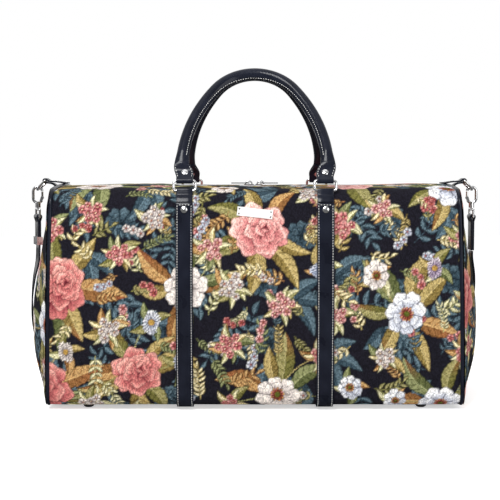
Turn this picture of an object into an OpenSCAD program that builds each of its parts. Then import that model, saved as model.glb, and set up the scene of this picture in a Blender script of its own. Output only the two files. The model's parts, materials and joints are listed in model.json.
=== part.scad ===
// Carpet travel bag: a tapestry body with a zipped top, two rolled handles on metal rings
// and a clip-on shoulder strap.
// Millimetres, +Z up, front towards -Y. The origin is on the floor under the middle of the bag.

/* [Body] */
// Length of the body between its piped ends, at the base
body_w = 540; // [480:5:600]
// Depth of the body, front to back
body_d = 235; // [210:5:260]
// Height of the body without its feet
body_h = 288; // [265:1:310]
// How far each end leans in at the top
end_lean = 7; // [4:1:12]
// How far each end panel swells out
end_swell = 30; // [16:1:32]
// How far the front and the back swell out
side_swell = 7; // [3:0.5:10]
// How far the top rises to the zip
crown_rise = 5; // [3:0.5:8]
// Radius of the bottom edges
base_r = 16; // [12:1:22]
// Radius of the top edges
shoulder_r = 26; // [22:1:32]

/* [Cloth] */
// Thickness of the backed tapestry
cloth_t = 2.4; // [1.6:0.1:3]
// Thickness of the lining
lining_t = 0.8; // [0.6:0.1:1.2]
// Thickness of the base board
board_t = 2.5; // [1.5:0.1:4]
// Diameter of the leather piping round the ends
piping_d = 5; // [4:0.5:6]
// How far the piping stands out past the cloth
piping_proud = 0.8; // [0.4:0.1:1.2]

/* [Feet] */
// Height of the feet
foot_h = 6; // [5:0.5:10]
// Diameter of the feet
foot_d = 15; // [12:0.5:20]
// Length between the feet
foot_pitch_x = 440; // [380:5:460]
// Depth between the feet
foot_pitch_y = 160; // [130:5:170]

/* [Zip] */
// Width of the opening between the panels
zip_gap = 17; // [15:0.5:22]
// Thickness of the tape
tape_t = 0.8; // [0.5:0.1:1]
// Height of the coil
coil_h = 2.6; // [2:0.1:3]
// Width of each coil half
coil_w = 2.6; // [2:0.1:3]
// Seam between the coil halves
coil_seam = 1.2; // [1.1:0.1:1.6]
// Distance from one coil turn to the next
coil_pitch = 3; // [2.5:0.5:4]
// Length of a slider
slider_l = 14; // [12:0.5:16]
// Length of a pull
pull_l = 24; // [18:1:30]

/* [Straps] */
// Distance between the two body straps
strap_pitch = 182; // [160:2:220]
// Width of the body straps
strap_w = 22; // [18:1:23]
// Thickness of the body straps
strap_t = 2.6; // [2.2:0.1:3.2]
// Angle round the top edge at which the strap ends
strap_end_a = 163; // [160:1:166]
// Distance of the strap rivet from the end of the strap
strap_rivet_in = 9; // [8:0.5:12]
// Thickness of one layer of the ring loop
loop_t = 1.1; // [0.9:0.1:1.4]
// Width of the ring loop
loop_w = 21; // [18:0.5:22]
// Angle round the top edge at which the ring hangs
loop_a = 128; // [124:1:132]

/* [Rings] */
// Wire of the handle rings
ring_wire_d = 3.5; // [3:0.1:4]
// Inner width of the handle rings
ring_in_w = 24.5; // [24:0.5:28]
// Distance between the two bars of a handle ring
ring_drop = 13; // [12:0.5:16]
// How far the handle rings lean in
ring_lean = 14; // [6:1:24]

/* [Handles] */
// Height of a handle from its ring bar, along its own plane
handle_rise = 171; // [155:1:190]
// How far a handle stands outside the middle of its rings
handle_flare = 4.4; // [3:0.2:6]
// Radius of the top bend as a share of half the width of a handle
handle_top_share = 0.69; // [0.62:0.01:0.76]
// Height at which a handle is widest
handle_wide_s = 19.5; // [16:0.5:24]
// Diameter of the roll
handle_d = 16; // [14:0.5:17]
// Thickness of the leather of the roll
handle_skin_t = 2; // [1.6:0.1:2.4]
// Height at which the roll starts above the ring bar
handle_base_s = 25; // [24:0.5:27]
// Thickness of one layer of a handle tab
tab_layer_t = 2.1; // [1.8:0.1:2.4]
// Width of a handle tab
tab_w = 21.5; // [19:0.5:22.5]
// Height of the tab rivet above the ring bar
tab_rivet_s = 11.5; // [11:0.25:12.5]

/* [Rivets] */
// Diameter of the rivet heads
rivet_d = 9; // [7:0.5:10]
// Height of the rivet heads
rivet_h = 2.4; // [1.6:0.1:3]
// Diameter of the rivet shanks
rivet_shank_d = 3; // [2.4:0.1:3.4]

/* [Plate] */
// Length of the bare plate
plate_l = 46; // [36:1:56]
// Height of the bare plate
plate_h = 11.5; // [9:0.5:13]
// Thickness of the bare plate
plate_t = 1.2; // [0.8:0.1:1.6]
// Tilt of the bare plate
plate_tilt = 6.5; // [0:0.5:10]
// Distance of the bare plate below the top of the body
plate_drop = 36; // [34:1:50]

/* [Shoulder hardware] */
// How far the end tab reaches past the end of the top
end_tab_reach = 24; // [24:1:28]
// Width of the end tab
end_tab_w = 21; // [18:0.5:21.5]
// Thickness of the end tab
end_tab_t = 2.6; // [2.2:0.1:3.2]
// Wire of the D-ring
dring_wire_d = 3.2; // [2.8:0.1:3.4]
// Inner width of the D-ring
dring_in_w = 23; // [22.5:0.5:26]
// Length of the D-ring from its bar to the end of its bend
dring_l = 17; // [16.5:0.5:19]
// Lean of the D-ring away from straight down
dring_lean = 45; // [40:1:55]
// Inner radius of the hook bow
hook_in_r = 4.4; // [4.3:0.1:5]
// Wire of the hook
hook_wire_d = 3.8; // [3.2:0.1:4]
// Straight length of the hook between its bends
hook_mid_l = 9; // [8.5:0.5:11]
// Diameter of the swivel barrel
barrel_d = 7.6; // [7.2:0.1:8.4]
// Height of the swivel barrel
barrel_h = 8; // [7.5:0.5:10]
// Height of the swivel eye
eye_h = 10; // [9:0.5:12]
// Rest turn of the left swivel
left_turn = 20; // [10:1:22]

/* [Shoulder strap] */
// Width of the shoulder strap
sling_w = 25; // [20:1:26]
// Thickness of the shoulder strap
sling_t = 2.2; // [1.8:0.1:2.4]
// Length of the folded strap end on the left
left_end_l = 44; // [40:1:46]
// Length of the folded strap end on the right
right_end_l = 46; // [40:1:48]
// Distance from the left swivel eye down to the adjuster
adjuster_drop = 33; // [30:1:35]

/* [Clearances] */
// Gap between soft pieces that lie on each other
seat = 0.3; // [0.25:0.05:0.4]
// Radial play where a metal bar turns in a bore
fit = 0.05; // [0.03:0.01:0.08]
// Gap between a slider and the coil it rides on
ride = 0.3; // [0.25:0.05:0.4]

/* [Hidden] */
$fn = 48;
leather = [0.09, 0.09, 0.11];
steel = [0.78, 0.78, 0.80];
cloth = [0.20, 0.20, 0.26];

// Body outline: arcs that run into each other smoothly, seen from the end.
half_in = body_d / 2 - side_swell;
c_base = [-(half_in - base_r), base_r];
c_shoulder = [-(half_in - shoulder_r), body_h - crown_rise - shoulder_r];
half_span = norm(c_shoulder - c_base) / 2;
side_r = (half_span * half_span + side_swell * side_swell) / (2 * side_swell)
  + (base_r + shoulder_r) / 2;
c_side = meet(c_base, side_r - base_r, c_shoulder, side_r - shoulder_r);
crown_reach = -c_shoulder[0];
crown_r = shoulder_r + (crown_reach * crown_reach + crown_rise * crown_rise) / (2 * crown_rise);
c_crown = [0, body_h - crown_r];
a_side_low = bearing(c_side, c_base);
a_side_top = bearing(c_side, c_shoulder);
a_crown = bearing(c_crown, c_shoulder);
a_zip = 90 + asin(zip_gap / 2 / crown_r);
end_a = atan(end_lean / body_h);
piping_r = piping_d / 2;
piping_off = piping_proud - piping_r;
end_inset = piping_r + seat;
swell_low = 0.37;
swell_rings = 8;

// Where the two circles round a and b meet, on the inner side.
function meet(a, ra, b, rb) =
  let (d = b - a, l = norm(d), e = d / l, x = (ra * ra - rb * rb + l * l) / (2 * l))
  a + x * e + sqrt(ra * ra - x * x) * [e[1], -e[0]];
function bearing(a, b) =
  let (t = atan2(b[1] - a[1], b[0] - a[0]))
  t < 0 ? t + 360 : t;
function arc(c, r, a0, a1, n) =
  [for (i = [0 : n]) c + r * [cos(a0 + (a1 - a0) * i / n), sin(a0 + (a1 - a0) * i / n)]];
function tail(p) = [for (i = [1 : len(p) - 1]) p[i]];
function back(p) = [for (i = [len(p) - 1 : -1 : 0]) p[i]];
function flip(p) = [for (q = p) [-q[0], q[1]]];
function end_x(z) = body_w / 2 - end_lean * z / body_h;

// Front half of the outline, moved out by d and ended at angle a on the crown.
function front_path(d, a, fine = 2) = concat(
  arc(c_base, base_r + d, 270, a_side_low, 3 * fine),
  tail(arc(c_side, side_r + d, a_side_low, a_side_top, 5 * fine)),
  tail(arc(c_shoulder, shoulder_r + d, a_side_top, a_crown, 4 * fine)),
  tail(arc(c_crown, crown_r + d, a_crown, a, 3 * fine)));
function outline(d, fine = 2) =
  concat(front_path(d, 90, fine), tail(back(flip(front_path(d, 90, fine)))));
function raised(p, low) = [for (q = p) [q[0], max(q[1], low)]];
function strap_half(d) = concat(
  arc(c_base, base_r + d, 270, a_side_low, 6),
  tail(arc(c_side, side_r + d, a_side_low, a_side_top, 10)),
  tail(arc(c_shoulder, shoulder_r + d, a_side_top, strap_end_a, 3)));
function strap_path(d) = concat(back(strap_half(d)), flip(strap_half(d)));
function on_shoulder(a, d) = c_shoulder + (shoulder_r + d) * [cos(a), sin(a)];

module lift() {
  translate([0, 0, foot_h]) children();
}

// Draws a shape of the YZ plane out along X.
module along_x(l) {
  rotate([90, 0, 90]) linear_extrude(l, center = true) children();
}

// Draws a shape of the XZ plane out along Y.
module along_y(l) {
  rotate([90, 0, 0]) linear_extrude(l, center = true) children();
}

module bar_x(r, l) {
  rotate([0, 90, 0]) cylinder(r = r, h = l, center = true);
}

module bar_y(r, l) {
  rotate([90, 0, 0]) cylinder(r = r, h = l, center = true);
}

module end_trim(inset) {
  low = -20;
  top = body_h + 20;
  along_y(2 * body_d) polygon([
    [-end_x(low) + inset, low], [end_x(low) - inset, low],
    [end_x(top) - inset, top], [-end_x(top) + inset, top]]);
}

// Axis square to the side at angle a, at height d over the cloth.
module at_side(a, d) {
  p = c_side + (side_r + d) * [cos(a), sin(a)];
  lift() translate([0, p[0], p[1]]) rotate([a - 90, 0, 0]) children();
}

module to_back() {
  mirror([0, 1, 0]) children();
}

module to_left() {
  mirror([1, 0, 0]) children();
}

/* Cloth shell */
module front_panel() {
  color(cloth) lift() intersection() {
    along_x(body_w + 40) polygon(concat(
      front_path(0, a_zip), back(front_path(-cloth_t, a_zip))));
    end_trim(end_inset);
  }
}

module back_panel() {
  to_back() front_panel();
}

foot_shank_d = 4;
base_half = -c_base[0] - seat / 2;

module foot_spots() {
  for (x = [-1, 1]) {
    for (y = [-1, 1]) {
      translate([x * foot_pitch_x / 2, y * foot_pitch_y / 2, 0]) children();
    }
  }
}

module bottom_panel() {
  color(cloth) difference() {
    lift() intersection() {
      translate([-body_w, -base_half, 0]) cube([2 * body_w, 2 * base_half, cloth_t]);
      end_trim(end_inset);
    }
    foot_spots() cylinder(d = foot_shank_d + 2 * fit, h = foot_h + cloth_t + 20);
  }
}

// Rings of points from the middle of the end panel out to its rim.
rim = outline(-0.4, 1);
rim_n = len(rim);
mid = [0, swell_low * body_h];
function swell(r) = end_swell * pow(max(0, cos(90 * r)), 1.3);
function dome_point(r, k, t) =
  let (p = mid + r * (rim[k] - mid))
  [end_x(p[1]) + end_inset + cloth_t + swell(r) - t, p[0], p[1]];
function dome(t) = concat(
  [dome_point(0, 0, t)],
  [for (j = [1 : swell_rings]) for (k = [0 : rim_n - 1]) dome_point(j / swell_rings, k, t)]);
dome_n = 1 + swell_rings * rim_n;
function spot(j, k) = j == 0 ? 0 : 1 + (j - 1) * rim_n + k % rim_n;
dome_faces = concat(
  [for (k = [0 : rim_n - 1]) [spot(0, 0), spot(1, k), spot(1, k + 1)]],
  [for (j = [1 : swell_rings - 1]) for (k = [0 : rim_n - 1]) each [
    [spot(j, k), spot(j + 1, k), spot(j + 1, k + 1)],
    [spot(j, k), spot(j + 1, k + 1), spot(j, k + 1)]]]);
rim_faces = [for (k = [0 : rim_n - 1]) each [
  [spot(swell_rings, k), dome_n + spot(swell_rings, k), dome_n + spot(swell_rings, k + 1)],
  [spot(swell_rings, k), dome_n + spot(swell_rings, k + 1), spot(swell_rings, k + 1)]]];

module right_gusset() {
  color(cloth) lift() polyhedron(
    points = concat(dome(0), dome(cloth_t)),
    faces = concat(
      [for (f = dome_faces) [f[0], f[2], f[1]]],
      [for (f = dome_faces) [dome_n + f[0], dome_n + f[1], dome_n + f[2]]],
      [for (f = rim_faces) [f[0], f[2], f[1]]]),
    convexity = 4);
}

module left_gusset() {
  to_left() right_gusset();
}

// The piping runs round the outline as a closed round bead in the leaning end plane.
pipe_path = outline(piping_off);
pipe_n = len(pipe_path);
pipe_sides = 8;
function pipe_ring(k) =
  let (p = pipe_path[k], t = unit(pipe_path[(k + 1) % pipe_n] - pipe_path[(k + pipe_n - 1) % pipe_n]))
  [for (j = [0 : pipe_sides - 1])
    let (a = 360 * j / pipe_sides, q = p + piping_r * cos(a) * [t[1], -t[0]])
    [end_x(q[1]) + piping_r * sin(a), q[0], q[1]]];
// Faces between ring k and ring m of a sweep with n sides, whose rings start at point o.
function wall(k, m, n, o = 0) = [for (j = [0 : n - 1]) each [
  [o + n * k + j, o + n * m + j, o + n * m + (j + 1) % n],
  [o + n * k + j, o + n * m + (j + 1) % n, o + n * k + (j + 1) % n]]];
function turned(faces) = [for (f = faces) [f[0], f[2], f[1]]];

module right_piping() {
  color(leather) lift() polyhedron(
    points = [for (k = [0 : pipe_n - 1]) each pipe_ring(k)],
    faces = [for (k = [0 : pipe_n - 1]) each wall(k, (k + 1) % pipe_n, pipe_sides)],
    convexity = 6);
}

module left_piping() {
  to_left() right_piping();
}

tape_top = foot_h + body_h - cloth_t - seat / 2;
tape_in = coil_seam / 2 + coil_w;
tape_out = zip_gap / 2 + 5;
tape_l = 2 * end_x(body_h) - 2 * end_inset - 4;
board_low = cloth_t + seat / 2;
lining_low = board_low + board_t + seat;
lining_off = -cloth_t - seat;

module lining() {
  top = tape_out + seat;
  color([0.45, 0.36, 0.24]) lift() difference() {
    intersection() {
      along_x(body_w) polygon(raised(outline(lining_off), lining_low));
      end_trim(end_inset + seat);
    }
    intersection() {
      along_x(body_w) polygon(raised(outline(lining_off - lining_t), lining_low + lining_t));
      end_trim(end_inset + seat + lining_t);
    }
    translate([-tape_l / 2 - 1, -top, body_h / 2]) cube([tape_l + 2, 2 * top, body_h]);
  }
}

module base_board() {
  color([0.32, 0.28, 0.22]) difference() {
    lift() translate([0, 0, board_low + board_t / 2])
      cube([2 * (end_x(0) - end_inset - 6), 2 * base_half, board_t], center = true);
    foot_spots() cylinder(d = foot_shank_d + 2 * fit, h = foot_h + cloth_t + board_t + 20);
  }
}

module feet() {
  r = foot_d / 2;
  color(steel) foot_spots() {
    rotate_extrude() polygon(concat(
      [[0, 0], [r * 0.45, 0]],
      [for (i = [1 : 6]) [r * (0.45 + 0.55 * sin(15 * i)), 0.72 * foot_h * (1 - cos(15 * i))]],
      [[r, foot_h], [0, foot_h]]));
    translate([0, 0, foot_h / 2]) cylinder(d = foot_shank_d, h = foot_h / 2 + cloth_t + board_t);
  }
}

/* Zip */
module zip_tape_back() {
  color(leather) translate([-tape_l / 2, tape_in, tape_top - tape_t])
    cube([tape_l, tape_out - tape_in, tape_t]);
}

module zip_tape_front() {
  to_back() zip_tape_back();
}

coil_mid = tape_top - tape_t / 2;
coil_l = tape_l - 24;
coil_turns = floor(coil_l / coil_pitch);

// One comb of turns, each reaching from the tape towards the seam.
module coil_half(shift) {
  spine = 0.9;
  turn = coil_pitch * 0.58;
  start = -coil_turns * coil_pitch / 2 + shift;
  translate([0, 0, coil_mid - coil_h / 2]) linear_extrude(coil_h) polygon(concat(
    [[start, tape_in]],
    [for (i = [0 : coil_turns - 1]) each [
      [start + i * coil_pitch, tape_in - spine],
      [start + i * coil_pitch, tape_in - coil_w],
      [start + i * coil_pitch + turn, tape_in - coil_w],
      [start + i * coil_pitch + turn, tape_in - spine]]],
    [[start + (coil_turns - 1) * coil_pitch + turn, tape_in]]));
}

module zip_coil_back() {
  color([0.13, 0.13, 0.15]) coil_half(0);
}

module zip_coil_front() {
  color([0.13, 0.13, 0.15]) to_back() coil_half(coil_pitch / 2);
}

module zip_stops() {
  stop_x = (coil_turns + 1) * coil_pitch / 2 + seat;
  color(steel) for (s = [-1, 1]) {
    translate([s * (stop_x + 2.5), 0, coil_mid]) cube([5, 2 * tape_in - 0.1, coil_h], center = true);
  }
}

slider_half = tape_in + 1.6;
slider_t = 1.2;
slider_rest = slider_l / 2 + 1;
slider_top = coil_mid + coil_h / 2 + ride + slider_t;
slider_low = coil_mid - coil_h / 2 - ride - slider_t;
bridge_r = 4.6;
bridge_wire = 1.1;
pull_pin_r = 0.9;
pull_t = 1.4;
pull_w = 9;
pull_z = slider_top + 1.5;

module slider_plan(h) {
  linear_extrude(h) polygon([
    [-slider_l / 2, -slider_half], [slider_l * 0.2, -slider_half], [slider_l / 2, -slider_half * 0.6],
    [slider_l / 2, slider_half * 0.6], [slider_l * 0.2, slider_half], [-slider_l / 2, slider_half]]);
}

// Upper and lower shields, joined by the web that runs in the seam of the coil.
module right_slider() {
  color(steel) translate([slider_rest, 0, 0]) {
    translate([0, 0, slider_top - slider_t]) slider_plan(slider_t);
    translate([0, 0, slider_low]) slider_plan(slider_t);
    translate([0, 0, (slider_top + slider_low) / 2])
      cube([slider_l * 0.6, coil_seam - 2 * ride, slider_top - slider_low - slider_t], center = true);
    translate([0, 0, slider_top - 0.5]) rotate([90, 0, 0]) rotate_extrude(angle = 180)
      translate([bridge_r, 0]) circle(bridge_wire, $fn = 24);
  }
}

module left_slider() {
  to_left() right_slider();
}

module right_pull() {
  color(steel) translate([slider_rest, 0, pull_z]) {
    bar_y(pull_pin_r, pull_w - 2);
    difference() {
      translate([0, 0, -pull_t / 2]) linear_extrude(pull_t) polygon([
        [-pull_pin_r, -pull_w / 2], [pull_l * 0.55, -pull_w / 2], [pull_l, -pull_w * 0.3],
        [pull_l, pull_w * 0.3], [pull_l * 0.55, pull_w / 2], [-pull_pin_r, pull_w / 2]]);
      translate([0, 0, -pull_t]) linear_extrude(2 * pull_t) polygon([
        [-bridge_r, -pull_w / 2 + 1.6], [bridge_r + bridge_wire + 3, -pull_w / 2 + 1.6],
        [bridge_r + bridge_wire + 3, pull_w / 2 - 1.6], [-bridge_r, pull_w / 2 - 1.6]]);
      translate([pull_l - 5.5, 0, -pull_t]) cylinder(r = 1.9, h = 2 * pull_t);
    }
  }
}

module left_pull() {
  to_left() right_pull();
}

/* Body straps, ring loops and rivets */
strap_x = strap_pitch / 2;
strap_top = seat + strap_t;
rivet_on_side = strap_rivet_in - shoulder_r * (a_side_top - strap_end_a) * PI / 180;
rivet_a = a_side_top + rivet_on_side / side_r * 180 / PI;

module right_strap() {
  color(leather) difference() {
    translate([strap_x, 0, 0]) lift() along_x(strap_w)
      polygon(concat(strap_path(strap_top), back(strap_path(seat))));
    strap_rivet_spots() translate([0, 0, -strap_t]) cylinder(d = rivet_shank_d + 2 * fit, h = 2 * strap_t);
  }
}

module left_strap() {
  to_left() right_strap();
}

// Both rivet places of one strap, with +Z pointing out of the leather.
module strap_rivet_spots() {
  translate([strap_x, 0, 0]) {
    at_side(rivet_a, strap_top) children();
    to_back() at_side(rivet_a, strap_top) children();
  }
}

module rivet_head() {
  r = rivet_d / 2;
  rotate_extrude() polygon(concat(
    [[0, 0.02], [r, 0.02], [r, 0.3 * rivet_h]],
    [for (i = [1 : 5]) [r * cos(18 * i), rivet_h * (0.3 + 0.7 * sin(18 * i))]]));
}

module strap_rivets() {
  color(steel) for (s = [0, 1]) {
    mirror([s, 0, 0]) strap_rivet_spots() {
      rivet_head();
      translate([0, 0, 0.05 - strap_t]) cylinder(d = rivet_shank_d, h = strap_t + rivet_h * 0.5);
    }
  }
}

ring_r = ring_wire_d / 2;
loop_eye_r = ring_r + fit + 1.4;
loop_eye = on_shoulder(loop_a, seat + loop_eye_r + 0.15);
ring_low = [loop_eye[0], loop_eye[1] + foot_h];
ring_up = ring_low + ring_drop * [sin(ring_lean), cos(ring_lean)];

module front_right_loop() {
  a0 = strap_end_a - 0.8;
  color(leather) translate([strap_x, 0, 0]) difference() {
    union() {
      lift() along_x(loop_w) polygon(concat(
        arc(c_shoulder, shoulder_r + seat + 2 * loop_t, a0, loop_a, 6),
        back(arc(c_shoulder, shoulder_r + seat, a0, loop_a, 6))));
      translate([0, ring_low[0], ring_low[1]]) bar_x(loop_eye_r, loop_w);
    }
    translate([0, ring_low[0], ring_low[1]]) bar_x(ring_r + fit, loop_w + 2);
  }
}

module front_left_loop() {
  to_left() front_right_loop();
}

module back_right_loop() {
  to_back() front_right_loop();
}

module back_left_loop() {
  to_left() back_right_loop();
}

ring_corner_r = 3;

module ring_corner(x, z, a) {
  translate([x, 0, z]) rotate([90, 0, 0]) rotate([0, 0, a])
    rotate_extrude(angle = 90) translate([ring_corner_r, 0]) circle(ring_r, $fn = 32);
}

module front_right_ring() {
  hw = ring_in_w / 2 + ring_r - ring_corner_r;
  color(steel) translate([strap_x, ring_low[0], ring_low[1]]) rotate([-ring_lean, 0, 0]) {
    bar_x(ring_r, 2 * hw);
    translate([0, 0, ring_drop]) bar_x(ring_r, 2 * hw);
    for (s = [-1, 1]) {
      translate([s * (hw + ring_corner_r), 0, ring_corner_r])
        cylinder(r = ring_r, h = ring_drop - 2 * ring_corner_r);
    }
    ring_corner(hw, ring_drop - ring_corner_r, 0);
    ring_corner(-hw, ring_drop - ring_corner_r, 90);
    ring_corner(-hw, ring_corner_r, 180);
    ring_corner(hw, ring_corner_r, 270);
  }
}

module front_left_ring() {
  to_left() front_right_ring();
}

module back_right_ring() {
  to_back() front_right_ring();
}

module back_left_ring() {
  to_left() back_right_ring();
}

/* Handles */
handle_r = handle_d / 2;
handle_half_w = strap_x + handle_flare;
handle_top_r = handle_top_share * handle_half_w;
handle_tilt = asin((-ring_up[0] - handle_r - seat / 2) / handle_rise);
top_s = handle_rise - handle_top_r;
side_ds = top_s - handle_wide_s;
handle_side_r = (handle_half_w * handle_half_w + side_ds * side_ds - handle_top_r * handle_top_r)
  / (2 * (handle_half_w - handle_top_r));
bend_a = atan2(side_ds, handle_side_r - handle_half_w);
base_a = asin((handle_wide_s - handle_base_s) / handle_side_r);
base_x = handle_half_w - handle_side_r * (1 - cos(base_a));
tab_t = 2 * tab_layer_t;
tab_eye_r = ring_r + fit + tab_layer_t * 0.8;

module in_handle() {
  translate([0, ring_up[0], ring_up[1]]) rotate([-handle_tilt, 0, 0]) children();
}

// Middle line of the arch in its own plane, as point and direction, cut short by trim degrees at both ends.
function arch_arc(cx, cs, r, a0, a1, n) =
  [for (i = [0 : n]) let (a = a0 + (a1 - a0) * i / n) [cx + r * cos(a), cs + r * sin(a), a]];
function arch(trim) =
  let (cx = handle_half_w - handle_side_r)
  concat(
    arch_arc(cx, handle_wide_s, handle_side_r, trim - base_a, bend_a, 9),
    tail(arch_arc(0, top_s, handle_top_r, bend_a, 180 - bend_a, 14)),
    tail(arch_arc(-cx, handle_wide_s, handle_side_r, 180 - bend_a, 180 + base_a - trim, 9)));
roll_sides = 12;
function roll_ring(p, r) = [for (j = [0 : roll_sides - 1])
  let (a = 360 * j / roll_sides, out = r * cos(a))
  [p[0] + out * cos(p[2]), r * sin(a), p[1] + out * sin(p[2])]];
function ring_fan(n, o) = [for (j = [1 : n - 2]) [o, o + j, o + j + 1]];
function ring_rim(n, o, m) = [for (j = [0 : n - 1]) each [
  [o + j, o + (j + 1) % n, m + (j + 1) % n],
  [o + j, m + (j + 1) % n, m + j]]];

module tab_plan() {
  hw = tab_w / 2;
  straight = handle_base_s - 0.8 * hw - 4 * seat;
  linear_extrude(tab_t, center = true) polygon(concat(
    [[-hw, 0], [hw, 0]],
    [for (i = [0 : 8]) [hw * cos(22.5 * i), straight + 0.8 * hw * sin(22.5 * i)]]));
}

// Where the roll tapers into its tab.
module roll_foot() {
  translate([base_x, 0, handle_base_s]) rotate([0, base_a, 0])
    translate([0, 0, -8.02]) cylinder(r1 = tab_t / 2 + 0.6, r2 = handle_r, h = 8);
}

module tab_rivet_hole() {
  translate([strap_x, 0, tab_rivet_s]) bar_y(rivet_shank_d / 2 + fit, 20);
}

module front_right_tab() {
  color(leather) in_handle() difference() {
    union() {
      translate([strap_x, 0, 0]) {
        rotate([90, 0, 0]) tab_plan();
        bar_x(tab_eye_r, tab_w);
      }
      roll_foot();
    }
    translate([strap_x, 0, 0]) bar_x(ring_r + fit, tab_w + 2);
    tab_rivet_hole();
  }
}

module front_left_tab() {
  to_left() front_right_tab();
}

module back_right_tab() {
  to_back() front_right_tab();
}

module back_left_tab() {
  to_left() back_right_tab();
}

roll_line = arch(0);
roll_n = len(roll_line) - 1;
roll_half = roll_sides * (roll_n + 1);

// The leather tube of the roll, open at both ends for its core.
module front_handle() {
  color(leather) in_handle() polyhedron(
    points = concat(
      [for (p = roll_line) each roll_ring(p, handle_r)],
      [for (p = roll_line) each roll_ring(p, handle_r - handle_skin_t)]),
    faces = concat(
      [for (k = [0 : roll_n - 1]) each wall(k, k + 1, roll_sides)],
      turned([for (k = [0 : roll_n - 1]) each wall(k, k + 1, roll_sides, roll_half)]),
      ring_rim(roll_sides, 0, roll_half),
      turned(ring_rim(roll_sides, roll_half - roll_sides, 2 * roll_half - roll_sides))),
    convexity = 8);
}

module back_handle() {
  to_back() front_handle();
}

core_line = arch(0.3);

module front_handle_core() {
  color([0.75, 0.72, 0.62]) in_handle() polyhedron(
    points = [for (p = core_line) each roll_ring(p, handle_r - handle_skin_t - seat)],
    faces = concat(
      [for (k = [0 : roll_n - 1]) each wall(k, k + 1, roll_sides)],
      ring_fan(roll_sides, 0),
      turned(ring_fan(roll_sides, roll_half - roll_sides))),
    convexity = 6);
}

module back_handle_core() {
  to_back() front_handle_core();
}

module front_handle_rivets() {
  color(steel) in_handle() for (s = [0, 1]) {
    mirror([s, 0, 0]) translate([strap_x, 0, tab_rivet_s]) {
      translate([0, -tab_t / 2, 0]) rotate([90, 0, 0]) rivet_head();
      bar_y(rivet_shank_d / 2, tab_t + 1.2);
      translate([0, tab_t / 2 + 0.52, 0]) bar_y(rivet_d * 0.4, 1);
    }
  }
}

module back_handle_rivets() {
  to_back() front_handle_rivets();
}

/* Bare plate */
pin_in = 2.6;
pin_d = 1.6;
plate_z = body_h - plate_drop;
plate_a = asin((plate_z - c_side[1]) / side_r);
plate_y = c_side[0] - side_r * cos(plate_a);

// The plate stands on the front panel, its own +Z pointing out of the cloth.
module on_plate() {
  lift() translate([0, plate_y, plate_z]) rotate([-plate_a, 0, 0])
    rotate([90, 0, 0]) rotate([0, 0, -plate_tilt]) translate([0, 0, 0.05]) children();
}

module pin_spots() {
  for (x = [-1, 1]) {
    for (y = [-1, 1]) {
      translate([x * (plate_l / 2 - pin_in), y * (plate_h / 2 - pin_in), 0]) children();
    }
  }
}

module front_plate() {
  color(steel) on_plate() difference() {
    linear_extrude(plate_t) square([plate_l, plate_h], center = true);
    pin_spots() translate([0, 0, -1]) cylinder(d = pin_d + 2 * fit, h = plate_t + 2, $fn = 24);
  }
}

module plate_pins() {
  color(steel) on_plate() pin_spots() {
    cylinder(d = pin_d, h = plate_t + 0.3, $fn = 24);
    translate([0, 0, plate_t + 0.02]) cylinder(d1 = pin_d + 1, d2 = pin_d, h = 0.6, $fn = 24);
  }
}

/* End tabs, D-rings and hooks */
dring_r = dring_wire_d / 2;
tab_low = foot_h + body_h + piping_proud + seat;
tab_eye_out = dring_r + fit + 2;
tab_x = end_x(body_h) + end_tab_reach;
tab_z = tab_low + tab_eye_out - 0.4;
tab_back = 22;

module right_end_tab() {
  color(leather) difference() {
    union() {
      along_y(end_tab_w) polygon([
        [end_x(body_h) - tab_back, tab_low], [tab_x, tab_low],
        [tab_x, tab_low + end_tab_t], [end_x(body_h) - tab_back, tab_low + end_tab_t]]);
      translate([tab_x, 0, tab_z]) bar_y(tab_eye_out, end_tab_w);
    }
    translate([tab_x, 0, tab_z]) bar_y(dring_r + fit, end_tab_w + 2);
  }
}

module left_end_tab() {
  to_left() right_end_tab();
}

dring_hw = dring_in_w / 2 + dring_r;
dring_leg = dring_l - dring_hw;
ring_x = tab_x + dring_l * sin(dring_lean);
ring_z = tab_z - dring_l * cos(dring_lean);

// The bar, two short legs and the half-round bend, drawn downwards and then leant out.
module right_d_ring() {
  color(steel) translate([tab_x, 0, tab_z]) rotate([0, -dring_lean, 0]) {
    bar_y(dring_r, 2 * dring_hw);
    for (s = [-1, 1]) {
      translate([0, s * dring_hw, -dring_leg]) cylinder(r = dring_r, h = dring_leg);
      translate([0, s * dring_hw, 0]) sphere(dring_r * 1.02);
    }
    translate([0, 0, -dring_leg]) rotate([90, 0, 90]) rotate([0, 0, 180])
      rotate_extrude(angle = 180) translate([dring_hw, 0]) circle(dring_r, $fn = 32);
  }
}

module left_d_ring() {
  to_left() right_d_ring();
}

hook_r = hook_wire_d / 2;
bow_r = hook_in_r + hook_r;
bow_z = ring_z - (hook_in_r - dring_r - fit);
low_z = bow_z - hook_mid_l;
barrel_top = low_z - bow_r + hook_r * 0.6;
barrel_z = barrel_top - barrel_h;
post_r = 1.5;
head_r = 2.4;
gate_x = ring_x - bow_r;
gate_z = low_z + 0.6;
gate_r = 1.5;
gate_eye_r = 2;
gate_pin_r = 0.8;
gate_w = 3.2;
cheek_t = 1;
eye_wire = 1.6;
eye_top = barrel_z - 2.4;
eye_low = eye_top - eye_h;
eye_hw = sling_w / 2 + seat + eye_wire;

module hook_arc(z, a0, a1) {
  translate([ring_x, 0, z]) rotate([90, 0, 0]) rotate([0, 0, a0])
    rotate_extrude(angle = a1 - a0) translate([bow_r, 0]) circle(hook_r, $fn = 32);
}

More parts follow.
